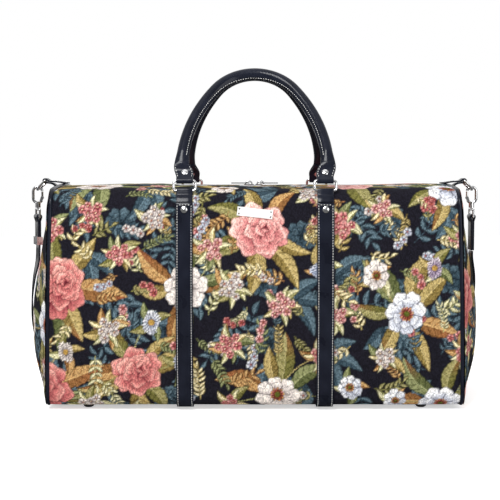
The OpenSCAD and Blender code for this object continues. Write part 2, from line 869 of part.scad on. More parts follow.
// Bow, spine and lower bend in one wire, with the barrel under them and two cheeks for the gate pin.
module right_hook() {
  color(steel) difference() {
    union() {
      hook_arc(bow_z, 0, 170);
      translate([ring_x + bow_r, 0, low_z - 0.5])
        cylinder(r = hook_r * 1.06, h = hook_mid_l + 1, $fn = 32);
      hook_arc(low_z, 212, 360);
      for (s = [-1, 1]) {
        translate([gate_x, s * (gate_w / 2 + ride / 2 + cheek_t / 2), gate_z]) {
          bar_y(gate_eye_r, cheek_t);
          along_y(cheek_t) polygon([
            [-gate_eye_r * 0.7, 0], [gate_eye_r, 0], [gate_eye_r + 1.6, -5.4], [0.6, -5.4]]);
        }
      }
      translate([gate_x, 0, gate_z]) bar_y(gate_pin_r, gate_w + ride + cheek_t);
      translate([ring_x, 0, barrel_z]) cylinder(d = barrel_d, h = barrel_h);
    }
    translate([ring_x, 0, barrel_z - 1]) cylinder(r = post_r + fit, h = barrel_h - 2);
    translate([ring_x, 0, barrel_z + 2.2]) cylinder(r = head_r + fit, h = 2.8);
  }
}

module left_hook() {
  to_left() right_hook();
}

module right_gate() {
  color(steel) difference() {
    translate([gate_x, 0, gate_z]) {
      cylinder(r = gate_r, h = bow_z - gate_z + 0.1, $fn = 32);
      bar_y(gate_eye_r * 0.85, gate_w);
    }
    translate([gate_x, 0, gate_z]) bar_y(gate_pin_r + fit, gate_w + 2);
  }
}

module left_gate() {
  to_left() right_gate();
}

module swivel_eye() {
  translate([0, 0, eye_top]) cylinder(r = post_r, h = barrel_z + 3.2 - eye_top);
  translate([0, 0, barrel_z + 2.4]) cylinder(r = head_r, h = 2.2);
  translate([0, 0, eye_top]) bar_y(eye_wire, 2 * eye_hw);
  translate([0, 0, eye_low]) bar_y(eye_wire, 2 * eye_hw);
  for (s = [-1, 1]) {
    translate([0, s * eye_hw, eye_low]) cylinder(r = eye_wire * 0.98, h = eye_h);
    for (z = [eye_low, eye_top]) {
      translate([0, s * eye_hw, z]) sphere(eye_wire * 1.04);
    }
  }
}

// A strap end folded round the bar of the eye and sewn to itself.
module strap_end(l) {
  out = eye_wire + seat + sling_t;
  difference() {
    union() {
      translate([0, 0, eye_low]) bar_y(out, sling_w);
      translate([-sling_t, -sling_w / 2, eye_low - l]) cube([2 * sling_t, sling_w, l]);
    }
    translate([0, 0, eye_low]) bar_y(eye_wire + seat, sling_w + 2);
  }
}

module at_right_swivel() {
  translate([ring_x, 0, 0]) children();
}

module at_left_swivel() {
  translate([-ring_x, 0, 0]) rotate([0, 0, left_turn]) children();
}

module right_swivel_eye() {
  color(steel) at_right_swivel() swivel_eye();
}

module left_swivel_eye() {
  color(steel) at_left_swivel() swivel_eye();
}

module right_strap_end() {
  color(leather) at_right_swivel() strap_end(right_end_l);
}

module left_strap_end() {
  color(leather) at_left_swivel() strap_end(left_end_l);
}

adjuster_h = 11;
adjuster_wall = 1.6;

// A slide that goes round both layers of the folded strap end.
module strap_adjuster() {
  in_x = 2 * sling_t + 2 * seat;
  in_y = sling_w + 2 * seat;
  color(steel) at_left_swivel() translate([0, 0, eye_low - adjuster_drop]) difference() {
    cube([in_x + 2 * adjuster_wall, in_y + 2 * adjuster_wall, adjuster_h], center = true);
    cube([in_x, in_y, adjuster_h + 2], center = true);
  }
}

/* Shoulder strap: down the left end, over the floor behind the bag and up the right end */
left_low = eye_low - left_end_l - 3 * seat;
right_low = eye_low - right_end_l - 3 * seat;
back_y = body_d / 2;
// Places of the strap and its turn about Z, tied to the hooks and to the back of the bag.
sling_route = [
  [-ring_x, 0, left_low, left_turn], [-ring_x - 1, 0, 0.925 * left_low, left_turn],
  [-ring_x - 7, 4, 0.8 * left_low, 0.75 * left_turn], [-ring_x - 12, 14, 0.64 * left_low, 0.5 * left_turn],
  [-ring_x - 13, 30, 0.475 * left_low, 0.25 * left_turn], [-ring_x - 9, 0.46 * back_y, 0.3 * left_low, 0],
  [-ring_x, 0.68 * back_y, 0.145 * left_low, 0], [-ring_x + 16, 0.885 * back_y, 10, 0],
  [-ring_x + 41, back_y + 6.5, 4, 0], [-ring_x + 74, back_y + 20, 2.5, 0],
  [-0.6 * ring_x, back_y + 30, 2, 0], [-0.4 * ring_x, back_y + 37, 2, 0],
  [-0.17 * ring_x, back_y + 40, 2, 0], [0.07 * ring_x, back_y + 38, 2, 0],
  [0.3 * ring_x, back_y + 34, 2, 0], [0.47 * ring_x, back_y + 30, 2, 0],
  [0.62 * ring_x, back_y + 26, 2, 0], [ring_x - 74, back_y + 19, 2.5, 0],
  [ring_x - 41, back_y + 7, 4, 0], [ring_x - 16, 0.9 * back_y, 10, 0],
  [ring_x, 0.7 * back_y, 0.145 * right_low, 0], [ring_x + 2, 0.6 * back_y, 0.3 * right_low, 0],
  [ring_x + 5, 0.48 * back_y, 0.475 * right_low, 0], [ring_x + 7, 0.32 * back_y, 0.62 * right_low, 0],
  [ring_x + 6.5, 0.17 * back_y, 0.74 * right_low, 0], [ring_x + 4, 6, 0.84 * right_low, 0],
  [ring_x + 1.5, 1, 0.91 * right_low, 0], [ring_x, 0, 0.96 * right_low, 0],
  [ring_x, 0, right_low, 0]];
sling_steps = 2;
sling_n = (len(sling_route) - 1) * sling_steps;
sling_last = len(sling_route) - 1;
function route(i) = sling_route[max(0, min(sling_last, i))];
// Smooth curve through the route points.
function glide(i, u) =
  let (a = route(i - 1), b = route(i), c = route(i + 1), d = route(i + 2))
  0.5 * (2 * b + u * (c - a) + u * u * (2 * a - 5 * b + 4 * c - d) + u * u * u * (3 * b - a - 3 * c + d));
function sling_at(k) =
  k >= sling_n ? route(sling_last) : glide(floor(k / sling_steps), (k % sling_steps) / sling_steps);
function xyz(p) = [p[0], p[1], p[2]];
function unit(v) = v / norm(v);
function sling_dir(k) = unit(xyz(sling_at(min(k + 1, sling_n))) - xyz(sling_at(max(k - 1, 0))));
// Width of the strap stays close to Y, turned about Z by the fourth number of the route.
function sling_wide(k) =
  let (t = sling_dir(k), a = sling_at(k)[3], g = [-sin(a), cos(a), 0])
  unit(g - (g * t) * t);
function sling_ring(k) =
  let (p = xyz(sling_at(k)), w = sling_wide(k), n = cross(sling_dir(k), w), a = sling_w / 2, b = sling_t / 2)
  [p - a * w - b * n, p + a * w - b * n, p + a * w + b * n, p - a * w + b * n];

module shoulder_strap() {
  color(leather) polyhedron(
    points = [for (k = [0 : sling_n]) each sling_ring(k)],
    faces = concat(
      [[0, 1, 2], [0, 2, 3]],
      [for (k = [0 : sling_n - 1]) for (j = [0 : 3]) each [
        [4 * k + j, 4 * k + 4 + j, 4 * k + 4 + (j + 1) % 4],
        [4 * k + j, 4 * k + 4 + (j + 1) % 4, 4 * k + (j + 1) % 4]]],
      [[4 * sling_n, 4 * sling_n + 2, 4 * sling_n + 1], [4 * sling_n, 4 * sling_n + 3, 4 * sling_n + 2]]),
    convexity = 6);
}

front_panel();
back_panel();
bottom_panel();
left_gusset();
right_gusset();
left_piping();
right_piping();
lining();
base_board();
feet();
zip_tape_front();
zip_tape_back();
zip_coil_front();
zip_coil_back();
zip_stops();
left_slider();
left_pull();
right_slider();
right_pull();
left_strap();
right_strap();
strap_rivets();
front_left_loop();
front_right_loop();
back_left_loop();
back_right_loop();
front_left_ring();
front_right_ring();
back_left_ring();
back_right_ring();
front_left_tab();
front_right_tab();
back_left_tab();
back_right_tab();
front_handle();
back_handle();
front_handle_core();
back_handle_core();
front_handle_rivets();
back_handle_rivets();
front_plate();
plate_pins();
left_end_tab();
right_end_tab();
left_d_ring();
right_d_ring();
left_hook();
right_hook();
left_gate();
right_gate();
left_swivel_eye();
right_swivel_eye();
left_strap_end();
right_strap_end();
strap_adjuster();
shoulder_strap();
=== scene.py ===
# %% [markdown]
# # A tapestry travel bag
# This lesson dresses a imported CAD model of a soft travel bag. The metal fittings keep their CAD shapes and
# only get a finish. The cloth and the leather are made new here, because a plain solid never looks soft.
# The frame comes in first.

# %% Load the frame
import json
import math

import bpy
import numpy as np
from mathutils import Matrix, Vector


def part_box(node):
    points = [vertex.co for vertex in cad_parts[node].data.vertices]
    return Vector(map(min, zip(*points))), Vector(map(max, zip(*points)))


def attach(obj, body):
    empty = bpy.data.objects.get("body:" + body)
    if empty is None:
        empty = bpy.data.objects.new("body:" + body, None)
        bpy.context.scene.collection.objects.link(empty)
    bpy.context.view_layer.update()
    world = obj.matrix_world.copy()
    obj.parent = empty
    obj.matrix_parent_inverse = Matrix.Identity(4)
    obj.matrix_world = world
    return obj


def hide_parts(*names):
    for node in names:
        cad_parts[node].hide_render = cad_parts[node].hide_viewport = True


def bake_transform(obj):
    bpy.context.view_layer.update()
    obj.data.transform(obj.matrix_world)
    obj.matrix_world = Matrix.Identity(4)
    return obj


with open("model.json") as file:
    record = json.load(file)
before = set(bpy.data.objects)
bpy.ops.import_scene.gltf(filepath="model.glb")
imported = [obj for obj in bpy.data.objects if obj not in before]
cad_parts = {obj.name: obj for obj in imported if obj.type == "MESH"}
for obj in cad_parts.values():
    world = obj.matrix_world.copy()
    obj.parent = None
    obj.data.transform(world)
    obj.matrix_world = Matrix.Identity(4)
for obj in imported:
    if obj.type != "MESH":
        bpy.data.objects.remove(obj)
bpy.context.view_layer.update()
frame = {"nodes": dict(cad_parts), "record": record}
bpy.ops.object.select_all(action="DESELECT")
MM = 0.001

# %% [markdown]
# ## Camera
# The picture is taken from a little above the bag, about one and a half metres away, with a longish lens.
# The image is square. The camera points slightly down at the middle of the front panel.

# %% Camera
VIEW_DISTANCE = 1.5
FRONT_FACE_Y = -0.1175
EYE_HEIGHT = 0.31
AIM_HEIGHT = 0.2106
LENS = 84.4
SENSOR_W = 36
SIDE_STEP = -0.0064
bpy.ops.object.camera_add(location=(SIDE_STEP, FRONT_FACE_Y - VIEW_DISTANCE, EYE_HEIGHT))
camera = bpy.context.object
camera.data.sensor_width = SENSOR_W
camera.data.lens = LENS
tilt_down = math.atan2(EYE_HEIGHT - AIM_HEIGHT, VIEW_DISTANCE)
camera.rotation_euler = (math.pi / 2 - tilt_down, 0, 0)
bpy.context.scene.camera = camera
print("camera tilts down by", round(math.degrees(tilt_down), 2), "degrees")

# %% [markdown]
# ## Small tools
# Most soft pieces here start as a grid primitive. Its two directions are read as shares from 0 to 1, and a
# rule says where each share lies on the bag. That is quicker to understand than pulling points one by one,
# and the rule can be changed without modelling the piece again. Thickness and rounded edges come from
# modifiers.

# %% Small tools
WELD_GAP = 0.00002
SOFT_EDGE_STEPS = 2


def deselect():
    bpy.ops.object.select_all(action="DESELECT")


def select_only(piece):
    """Makes piece the one that the next operator works on."""
    deselect()
    bpy.context.view_layer.objects.active = piece
    piece.select_set(True)


def open_mesh(piece):
    """Goes into edit mode with all of piece selected."""
    select_only(piece)
    bpy.ops.object.mode_set(mode="EDIT")
    bpy.ops.mesh.select_all(action="SELECT")


def close_mesh():
    bpy.ops.object.mode_set(mode="OBJECT")


def grid_piece(name, across, along, place):
    """A grid primitive whose points go where place(u, v) says, u and v being shares from 0 to 1."""
    deselect()
    bpy.ops.mesh.primitive_grid_add(x_subdivisions=across, y_subdivisions=along, size=2)
    piece = bpy.context.object
    piece.name = name
    count = len(piece.data.vertices)
    flat = np.empty(count * 3)
    piece.data.vertices.foreach_get("co", flat)
    flat = flat.reshape(-1, 3)
    u = np.clip((flat[:, 0] + 1) / 2, 0, 1)
    v = np.clip((flat[:, 1] + 1) / 2, 0, 1)
    spots = np.stack(place(u, v), axis=1)
    piece.data.vertices.foreach_set("co", (spots * MM).ravel())
    piece.data.update()
    return piece


def face_outwards(piece, middle):
    """Turns the faces so that most of them look away from the point middle."""
    count = len(piece.data.polygons)
    normals = np.empty(count * 3)
    centres = np.empty(count * 3)
    piece.data.polygons.foreach_get("normal", normals)
    piece.data.polygons.foreach_get("center", centres)
    away = centres.reshape(-1, 3) - np.array(middle) * MM
    if (normals.reshape(-1, 3) * away).sum() < 0:
        open_mesh(piece)
        bpy.ops.mesh.flip_normals()
        close_mesh()


def weld(piece):
    """Merges points that lie on each other, such as the two edges of a roll, and points faces outwards."""
    open_mesh(piece)
    bpy.ops.mesh.remove_doubles(threshold=WELD_GAP)
    bpy.ops.mesh.normals_make_consistent(inside=False)
    close_mesh()


def thicken(piece, thickness, edge):
    """Solid thickness to both sides of the sheet, with softened edges, both in millimetres."""
    select_only(piece)
    wall = piece.modifiers.new("wall", "SOLIDIFY")
    wall.thickness = thickness * MM
    wall.offset = 0
    bpy.ops.object.modifier_apply(modifier=wall.name)
    soft = piece.modifiers.new("soft edge", "BEVEL")
    soft.width = edge * MM
    soft.segments = SOFT_EDGE_STEPS
    soft.limit_method = "ANGLE"
    bpy.ops.object.modifier_apply(modifier=soft.name)


def smooth(piece, angle=40):
    """Smooth shading, with edges sharper than angle left crisp."""
    select_only(piece)
    bpy.ops.object.shade_smooth_by_angle(angle=math.radians(angle))


def finish_piece(piece, material, body, slot, *nodes):
    """Gives a piece its finish, the body it rides on and the CAD nodes that it stands in for."""
    piece.data.materials.clear()
    piece.data.materials.append(material)
    if body:
        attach(piece, body)
    if nodes:
        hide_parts(*nodes)
    print(piece.name, len(piece.data.polygons), "faces")


# %% [markdown]
# ## Finishes
# Every finish is a node tree. Effects that several finishes share are node groups which put out a number,
# such as the height of a weave or of a leather grain. The shader itself stays in each material.

# %% Node helpers
def new_material(name):
    material = bpy.data.materials.new(name)
    material.use_nodes = True
    nodes = material.node_tree.nodes
    return material, material.node_tree, nodes["Principled BSDF"]


def set_inputs(node, values):
    for name, value in values.items():
        node.inputs[name].default_value = value


def math_node(tree, operation, a, b=None, c=None):
    """One sum, whose terms are numbers or the outputs of other nodes."""
    node = tree.nodes.new("ShaderNodeMath")
    node.operation = operation
    for index, value in enumerate((a, b, c)):
        if value is None:
            continue
        if isinstance(value, (int, float)):
            node.inputs[index].default_value = value
        else:
            tree.links.new(value, node.inputs[index])
    return node.outputs[0]


def bump_into(tree, shader, height, strength, distance):
    bump = tree.nodes.new("ShaderNodeBump")
    set_inputs(bump, {"Strength": strength, "Distance": distance})
    tree.links.new(height, bump.inputs["Height"])
    tree.links.new(bump.outputs["Normal"], shader.inputs["Normal"])


def ramp(tree, value, stops):
    """A colour that runs through stops, each a place from 0 to 1 and a colour."""
    node = tree.nodes.new("ShaderNodeValToRGB")
    points = node.color_ramp.elements
    while len(points) < len(stops):
        points.new(0.5)
    for point, (place, colour) in zip(points, stops):
        point.position = place
        point.color = (*colour, 1)
    tree.links.new(value, node.inputs["Fac"])
    return node.outputs["Color"]


def object_noise(tree, scale, detail=3.0):
    spot = tree.nodes.new("ShaderNodeTexCoord")
    noise = tree.nodes.new("ShaderNodeTexNoise")
    set_inputs(noise, {"Scale": scale, "Detail": detail})
    tree.links.new(spot.outputs["Object"], noise.inputs["Vector"])
    return noise.outputs["Fac"]


def vary_roughness(tree, shader, value, low, high):
    """Lets the roughness follow a value, from low to high."""
    span = tree.nodes.new("ShaderNodeMapRange")
    set_inputs(span, {"To Min": low, "To Max": high})
    tree.links.new(value, span.inputs["Value"])
    tree.links.new(span.outputs["Result"], shader.inputs["Roughness"])


# %% [markdown]
# ### Weave
# The cloth is a ribbed tapestry: thick weft ribs run along the bag, and each rib is a row of small knots.
# The pattern has to follow the surface round the corners, so it reads an attribute with the place on the
# flat cloth in millimetres instead of the place in space.

# %% Weave group
RIB_PITCH = 1.7
KNOT_PITCH = 1.3
KNOT_SHARE = 0.45
HEIGHT_SPAN, HEIGHT_LEVEL = 0.34, 0.5
RIB_SHADE_SPAN, RIB_SHADE_LEVEL = 0.4, 0.76
KNOT_SHADE_SPAN, KNOT_SHADE_LEVEL = 0.75, 0.6


def weave_group():
    group = bpy.data.node_groups.new("tapestry ribs", "ShaderNodeTree")
    group.interface.new_socket("Height", in_out="OUTPUT", socket_type="NodeSocketFloat")
    group.interface.new_socket("Knot shade", in_out="OUTPUT", socket_type="NodeSocketFloat")
    out = group.nodes.new("NodeGroupOutput")
    spot = group.nodes.new("ShaderNodeAttribute")
    spot.attribute_name = "cloth_mm"
    parts = group.nodes.new("ShaderNodeSeparateXYZ")
    group.links.new(spot.outputs["Vector"], parts.inputs[0])
    rise = math_node(group, "MULTIPLY", parts.outputs["Y"], 2 * math.pi / RIB_PITCH)
    rib = math_node(group, "SINE", rise)
    row = math_node(group, "FLOOR", math_node(group, "MULTIPLY", parts.outputs["Y"], 1 / RIB_PITCH))
    shift = math_node(group, "MULTIPLY", row, math.pi * 0.5)
    turn = math_node(group, "MULTIPLY", parts.outputs["X"], 2 * math.pi / KNOT_PITCH)
    knot = math_node(group, "SINE", math_node(group, "ADD", turn, shift))
    mixed = math_node(group, "MULTIPLY_ADD", knot, KNOT_SHARE, rib)
    height = math_node(group, "MULTIPLY_ADD", mixed, HEIGHT_SPAN, HEIGHT_LEVEL)
    group.links.new(height, out.inputs["Height"])
    column = math_node(group, "FLOOR", math_node(group, "MULTIPLY", parts.outputs["X"], 1 / KNOT_PITCH))
    cell = group.nodes.new("ShaderNodeCombineXYZ")
    group.links.new(column, cell.inputs["X"])
    group.links.new(row, cell.inputs["Y"])
    chance = group.nodes.new("ShaderNodeTexWhiteNoise")
    chance.noise_dimensions = "2D"
    group.links.new(cell.outputs[0], chance.inputs["Vector"])
    group.links.new(chance.outputs["Value"], out.inputs["Knot shade"])
    return group


ribs = weave_group()


def tapestry_material():
    material, tree, shader = new_material("floral tapestry")
    paint = tree.nodes.new("ShaderNodeAttribute")
    paint.attribute_name = "yarn"
    weave = tree.nodes.new("ShaderNodeGroup")
    weave.node_tree = ribs
    # The yarn colour is multiplied by the rib height: painted shade in the grooves between ribs and painted
    # light on their crests. Each knot also gets a random tone of its own.
    shade = math_node(tree, "MULTIPLY_ADD", weave.outputs["Height"], RIB_SHADE_SPAN, RIB_SHADE_LEVEL)
    fuzz = math_node(tree, "MULTIPLY_ADD", weave.outputs["Knot shade"], KNOT_SHADE_SPAN, KNOT_SHADE_LEVEL)
    both = math_node(tree, "MULTIPLY", shade, fuzz)
    tint = tree.nodes.new("ShaderNodeMix")
    tint.data_type = "RGBA"
    tint.blend_type = "MULTIPLY"
    tint.inputs["Factor"].default_value = 1
    tree.links.new(paint.outputs["Color"], tint.inputs["A"])
    tree.links.new(both, tint.inputs["B"])
    tree.links.new(tint.outputs["Result"], shader.inputs["Base Color"])
    set_inputs(shader, {"Roughness": 0.85, "Specular IOR Level": 0.08})
    bump_into(tree, shader, weave.outputs["Height"], strength=0.45, distance=0.0005)
    return material


# %% [markdown]
# ### Leather
# The trim is smooth black leather with a fine pebble grain. Two cell patterns of different size make the
# grain, and slow noise varies the gloss, so that highlights break up as on a handled strap.

# %% Leather
FINE_PEBBLES, COARSE_PEBBLES = 900, 420
PEBBLE_TOP = 0.22
COARSE_SHARE = 0.7


def grain_group():
    group = bpy.data.node_groups.new("leather grain", "ShaderNodeTree")
    group.interface.new_socket("Height", in_out="OUTPUT", socket_type="NodeSocketFloat")
    out = group.nodes.new("NodeGroupOutput")
    spot = group.nodes.new("ShaderNodeTexCoord")
    layers = []
    for scale in (FINE_PEBBLES, COARSE_PEBBLES):
        cells = group.nodes.new("ShaderNodeTexVoronoi")
        cells.feature = "DISTANCE_TO_EDGE"
        cells.inputs["Scale"].default_value = scale
        group.links.new(spot.outputs["Object"], cells.inputs["Vector"])
        layers.append(math_node(group, "MINIMUM", cells.outputs["Distance"], PEBBLE_TOP))
    height = math_node(group, "ADD", layers[0], math_node(group, "MULTIPLY", layers[1], COARSE_SHARE))
    group.links.new(height, out.inputs["Height"])
    return group


grain = grain_group()


def leather_material(name, dark, light, rough_low, rough_high):
    material, tree, shader = new_material(name)
    slow = object_noise(tree, 35)
    tree.links.new(ramp(tree, slow, [(0.3, dark), (0.75, light)]), shader.inputs["Base Color"])
    vary_roughness(tree, shader, slow, rough_low, rough_high)
    pebbles = tree.nodes.new("ShaderNodeGroup")
    pebbles.node_tree = grain
    bump_into(tree, shader, pebbles.outputs["Height"], strength=0.22, distance=0.0004)
    set_inputs(shader, {"Specular IOR Level": 0.06, "Coat Weight": 0.2, "Coat Roughness": 0.12})
    return material


# %% [markdown]
# ### Metal, thread, zip and lining
# The fittings are polished nickel with faint handling marks, and the plate is brushed. The thread is thick
# and off-white. The zip tape is a fine black weave, and the coil is plain black nylon.

# %% Other finishes
BRUSHED_LENGTHWAYS = (60, 900, 900)


def nickel_material():
    material, tree, shader = new_material("polished nickel")
    shader.inputs["Metallic"].default_value = 1
    marks = object_noise(tree, 260, 4)
    tone = ramp(tree, marks, [(0.3, (0.6, 0.6, 0.61)), (0.8, (0.8, 0.8, 0.81))])
    tree.links.new(tone, shader.inputs["Base Color"])
    vary_roughness(tree, shader, marks, 0.12, 0.28)
    return material


def satin_material():
    """A bare plate, brushed along its length, so that it spreads the light instead of mirroring it."""
    material, tree, shader = new_material("satin nickel")
    set_inputs(shader, {"Metallic": 0.75, "Roughness": 0.5})
    spot = tree.nodes.new("ShaderNodeTexCoord")
    stretch = tree.nodes.new("ShaderNodeMapping")
    stretch.inputs["Scale"].default_value = BRUSHED_LENGTHWAYS
    strokes = tree.nodes.new("ShaderNodeTexNoise")
    strokes.inputs["Scale"].default_value = 1
    tree.links.new(spot.outputs["Object"], stretch.inputs["Vector"])
    tree.links.new(stretch.outputs["Vector"], strokes.inputs["Vector"])
    tone = ramp(tree, strokes.outputs["Fac"], [(0.3, (0.82, 0.82, 0.8)), (0.7, (0.95, 0.95, 0.94))])
    tree.links.new(tone, shader.inputs["Base Color"])
    bump_into(tree, shader, strokes.outputs["Fac"], strength=0.1, distance=0.0002)
    return material


def plain_weave_material(name, dark, light, scale, roughness):
    """Two sets of threads that cross, with painted shade between them and the lighter colour on top."""
    material, tree, shader = new_material(name)
    spot = tree.nodes.new("ShaderNodeTexCoord")
    threads = []
    for axis in ("X", "Y"):
        wave = tree.nodes.new("ShaderNodeTexWave")
        wave.bands_direction = axis
        wave.inputs["Scale"].default_value = scale
        tree.links.new(spot.outputs["Object"], wave.inputs["Vector"])
        threads.append(wave.outputs["Fac"])
    cross = math_node(tree, "MULTIPLY", threads[0], threads[1])
    # The colour runs from dark in the dips between threads to light where they cross: painted shade.
    tree.links.new(ramp(tree, cross, [(0.0, dark), (1.0, light)]), shader.inputs["Base Color"])
    shader.inputs["Roughness"].default_value = roughness
    bump_into(tree, shader, cross, strength=0.4, distance=0.0003)
    return material


tapestry = tapestry_material()
leather = leather_material("black leather", (0.005, 0.006, 0.011), (0.011, 0.013, 0.022), 0.22, 0.36)
nickel = nickel_material()
satin = satin_material()
thread = plain_weave_material("white thread", (0.5, 0.5, 0.48), (0.86, 0.85, 0.82), 900, 0.7)
tape_cloth = plain_weave_material("zip tape weave", (0.005, 0.005, 0.007), (0.02, 0.02, 0.024), 700, 0.8)
coil_nylon = plain_weave_material("zip coil nylon", (0.012, 0.012, 0.014), (0.03, 0.03, 0.034), 120, 0.4)
lining_cloth = plain_weave_material("cotton lining", (0.2, 0.15, 0.09), (0.34, 0.27, 0.18), 500, 0.9)
board_grey = plain_weave_material("base board", (0.1, 0.09, 0.07), (0.16, 0.14, 0.11), 300, 0.9)
print("finishes", [m.name for m in bpy.data.materials if m.users == 0])

# %% [markdown]
# ## Finishes on the CAD pieces
# Metal fittings and the zip keep their CAD meshes. Each node takes the finish of its slot in the record.
# The leather and cloth solids get theirs too, and are swapped for softer pieces further down.

# %% Paint the CAD nodes
SLOT_FINISH = {
    "tapestry": tapestry, "black_leather": leather, "nickel": nickel, "zip_tape": tape_cloth,
    "zip_coil": coil_nylon, "lining_cloth": lining_cloth, "base_stiffener": board_grey,
    "handle_cord": lining_cloth,
}
for part in frame["record"]["subparts"]:
    node = frame["nodes"][part["node"]]
    node.data.materials.clear()
    node.data.materials.append(SLOT_FINISH[part["material_slot"]])
plate = frame["nodes"]["front_plate"]
plate.data.materials[0] = satin
print("painted", len(frame["nodes"]), "CAD nodes")

# %% [markdown]
# ## The outline of the bag
# Seen from its end, the bag is a row of arcs that run smoothly into each other: bottom edge, swollen side,
# top edge and a slightly crowned top. The same few sizes as in the CAD model give the same arcs here.
# A walk along the arcs turns a distance on the flat cloth into a place on the bag and an outward direction.

# %% Outline
BODY_W = 540.0
BODY_D = 235.0
BODY_H = 288.0
END_LEAN = 7.0
END_SWELL = 30.0
SIDE_SWELL = 7.0
CROWN_RISE = 5.0
BASE_R = 16.0
SHOULDER_R = 26.0
FOOT_H = 6.0
CLOTH_T = 2.4
PIPING_R = 2.5
PIPING_PROUD = 0.8
SEAT = 0.3
ZIP_GAP = 17.0
END_INSET = PIPING_R + SEAT
ROUNDING = 1e-9


def circles_meet(a, ra, b, rb):
    """The point that lies ra from a and rb from b, to the right of the way from a to b."""
    d = b - a
    length = np.linalg.norm(d)
    e = d / length
    x = (ra * ra - rb * rb + length * length) / (2 * length)
    return a + x * e + math.sqrt(ra * ra - x * x) * np.array([e[1], -e[0]])


def bearing(a, b):
    """The direction from a to b in degrees."""
    return math.degrees(math.atan2(b[1] - a[1], b[0] - a[0])) % 360


half_in = BODY_D / 2 - SIDE_SWELL
base_c = np.array([-(half_in - BASE_R), BASE_R])
shoulder_c = np.array([-(half_in - SHOULDER_R), BODY_H - CROWN_RISE - SHOULDER_R])
half_span = np.linalg.norm(shoulder_c - base_c) / 2
side_r = (half_span ** 2 + SIDE_SWELL ** 2) / (2 * SIDE_SWELL) + (BASE_R + SHOULDER_R) / 2
side_c = circles_meet(base_c, side_r - BASE_R, shoulder_c, side_r - SHOULDER_R)
crown_r = SHOULDER_R + (shoulder_c[0] ** 2 + CROWN_RISE ** 2) / (2 * CROWN_RISE)
crown_c = np.array([0, BODY_H - crown_r])
side_low = bearing(side_c, base_c)
side_top = bearing(side_c, shoulder_c)
crown_low = bearing(crown_c, shoulder_c)
zip_angle = 90 + math.degrees(math.asin(ZIP_GAP / 2 / crown_r))
ARCS = [
    (base_c, BASE_R, 270, side_low), (side_c, side_r, side_low, side_top),
    (shoulder_c, SHOULDER_R, side_top, crown_low), (crown_c, crown_r, crown_low, zip_angle),
]
ARC_LENGTHS = [r * math.radians(a0 - a1) for _, r, a0, a1 in ARCS]
FRONT_LENGTH = sum(ARC_LENGTHS)
SHOULDER_START = sum(ARC_LENGTHS[:2])


def on_front(s, d):
    """Place (y, z) and outward direction at distance s up the front from the base seam, d over the cloth."""
    y, z = np.zeros_like(s), np.zeros_like(s)
    ny, nz = np.zeros_like(s), np.zeros_like(s)
    start = 0.0
    for k, (c, r, a0, _) in enumerate(ARCS):
        here = s >= start - ROUNDING if k else np.full(s.shape, True)
        angle = np.radians(a0 - np.degrees((s - start) / r))
        y = np.where(here, c[0] + (r + d) * np.cos(angle), y)
        z = np.where(here, c[1] + (r + d) * np.sin(angle), z)
        ny = np.where(here, np.cos(angle), ny)
        nz = np.where(here, np.sin(angle), nz)
        start += ARC_LENGTHS[k]
    return y, z + FOOT_H, ny, nz


def end_x(z):
    """How far out the leaning end seam lies at height z."""
    return BODY_W / 2 - END_LEAN * (z - FOOT_H) / BODY_H


def shoulder_s(angle):
    """Distance up the front at which the top edge has this angle."""
    return SHOULDER_START + SHOULDER_R * math.radians(side_top - angle)


print("front cloth is", round(FRONT_LENGTH, 1), "mm from base seam to zip")

# %% [markdown]
# ## The flowers of the tapestry
# The cloth has a crowded garden on a near-black ground. Each motif is a rule in polar form: petals are waves
# of the radius, and leaves are two arcs round a vein. A painter lays them one over another on the points
# of the cloth, big blooms last. The places come from a seeded draw that keeps blooms apart, so the layout is
# this bag's own and is the same on every run.

# %% Yarn colours
def yarn(code):
    """A yarn colour given as sRGB hex, in the linear values that nodes use."""
    parts = np.array([int(code[i:i + 2], 16) / 255 for i in (0, 2, 4)])
    return np.where(parts <= 0.04045, parts / 12.92, ((parts + 0.055) / 1.055) ** 2.4)


def yarns(*codes):
    return [yarn(c) for c in codes]


GROUND = yarn("17161e")
TEAL = yarns("1f2b33", "364852", "586b74")
OLIVES = [yarns("403f1f", "6c6836", "989062"), yarns("50411f", "83703e", "b5a16c"),
          yarns("363c24", "5b6039", "898c62"), yarns("5a381f", "8c6239", "ba9764")]
SPRIG = [yarns("5c5a38", "979360", "d2cca6"), yarns("685a34", "a3925c", "dccfa6")]
CREAM = yarn("e0d8b4")
ROSES = [yarns("85363f", "cb8480", "f1c9bd"), yarns("772b35", "b96a66", "e4ad9f"),
         yarns("90464b", "d5a09a", "f6ddd2")]
WHITES = [yarns("7b7d8e", "bfc2cb", "f0ede8"), yarns("8c817e", "cec4be", "f2e9de")]
LILACS = [yarns("72607a", "b3a2b4", "e6dcdf"), yarns("66738e", "a8b2c8", "e4e4ea")]
RUST = yarn("8a4432")
GOLD = yarn("b08b45")
SUN = np.array([-0.55, 0.83])


def smoothstep(low, high, x):
    t = np.clip((x - low) / (high - low), 0, 1)
    return t * t * (3 - 2 * t)


def blend_tones(tones, light):
    """A colour between three tones, dark at 0 and light at 1."""
    low, mid, high = tones
    t = light[:, None]
    return np.where(t < 0.5, low + (mid - low) * (t * 2), mid + (high - mid) * (t * 2 - 1))


def unit(angle):
    """The direction of an angle, as a pair of numbers."""
    return np.array([math.cos(angle), math.sin(angle)])


def window(spots, centre, reach):
    """The cloth points inside a square round a motif."""
    return np.nonzero((np.abs(spots - centre) < reach).all(axis=1))[0]


def lay(colours, near, mask, tone):
    """Lays a tone over the points near a motif where the mask is near 1."""
    m = mask[:, None]
    colours[near] = colours[near] * (1 - m) + tone * m


# %% [markdown]
# ### Petals, leaves and stems
# A ring of petals, a leaf and a stem are enough for the whole garden. Each has a dark contour, as woven
# flowers do, because the weaver changes yarn at every edge. Rings of petals laid over each other, each a
# little smaller and moved a little to one side, make a full bloom that is seen at an angle. A cloth is
# handed on as a pair: where its points lie in millimetres, and the colours that they have so far.

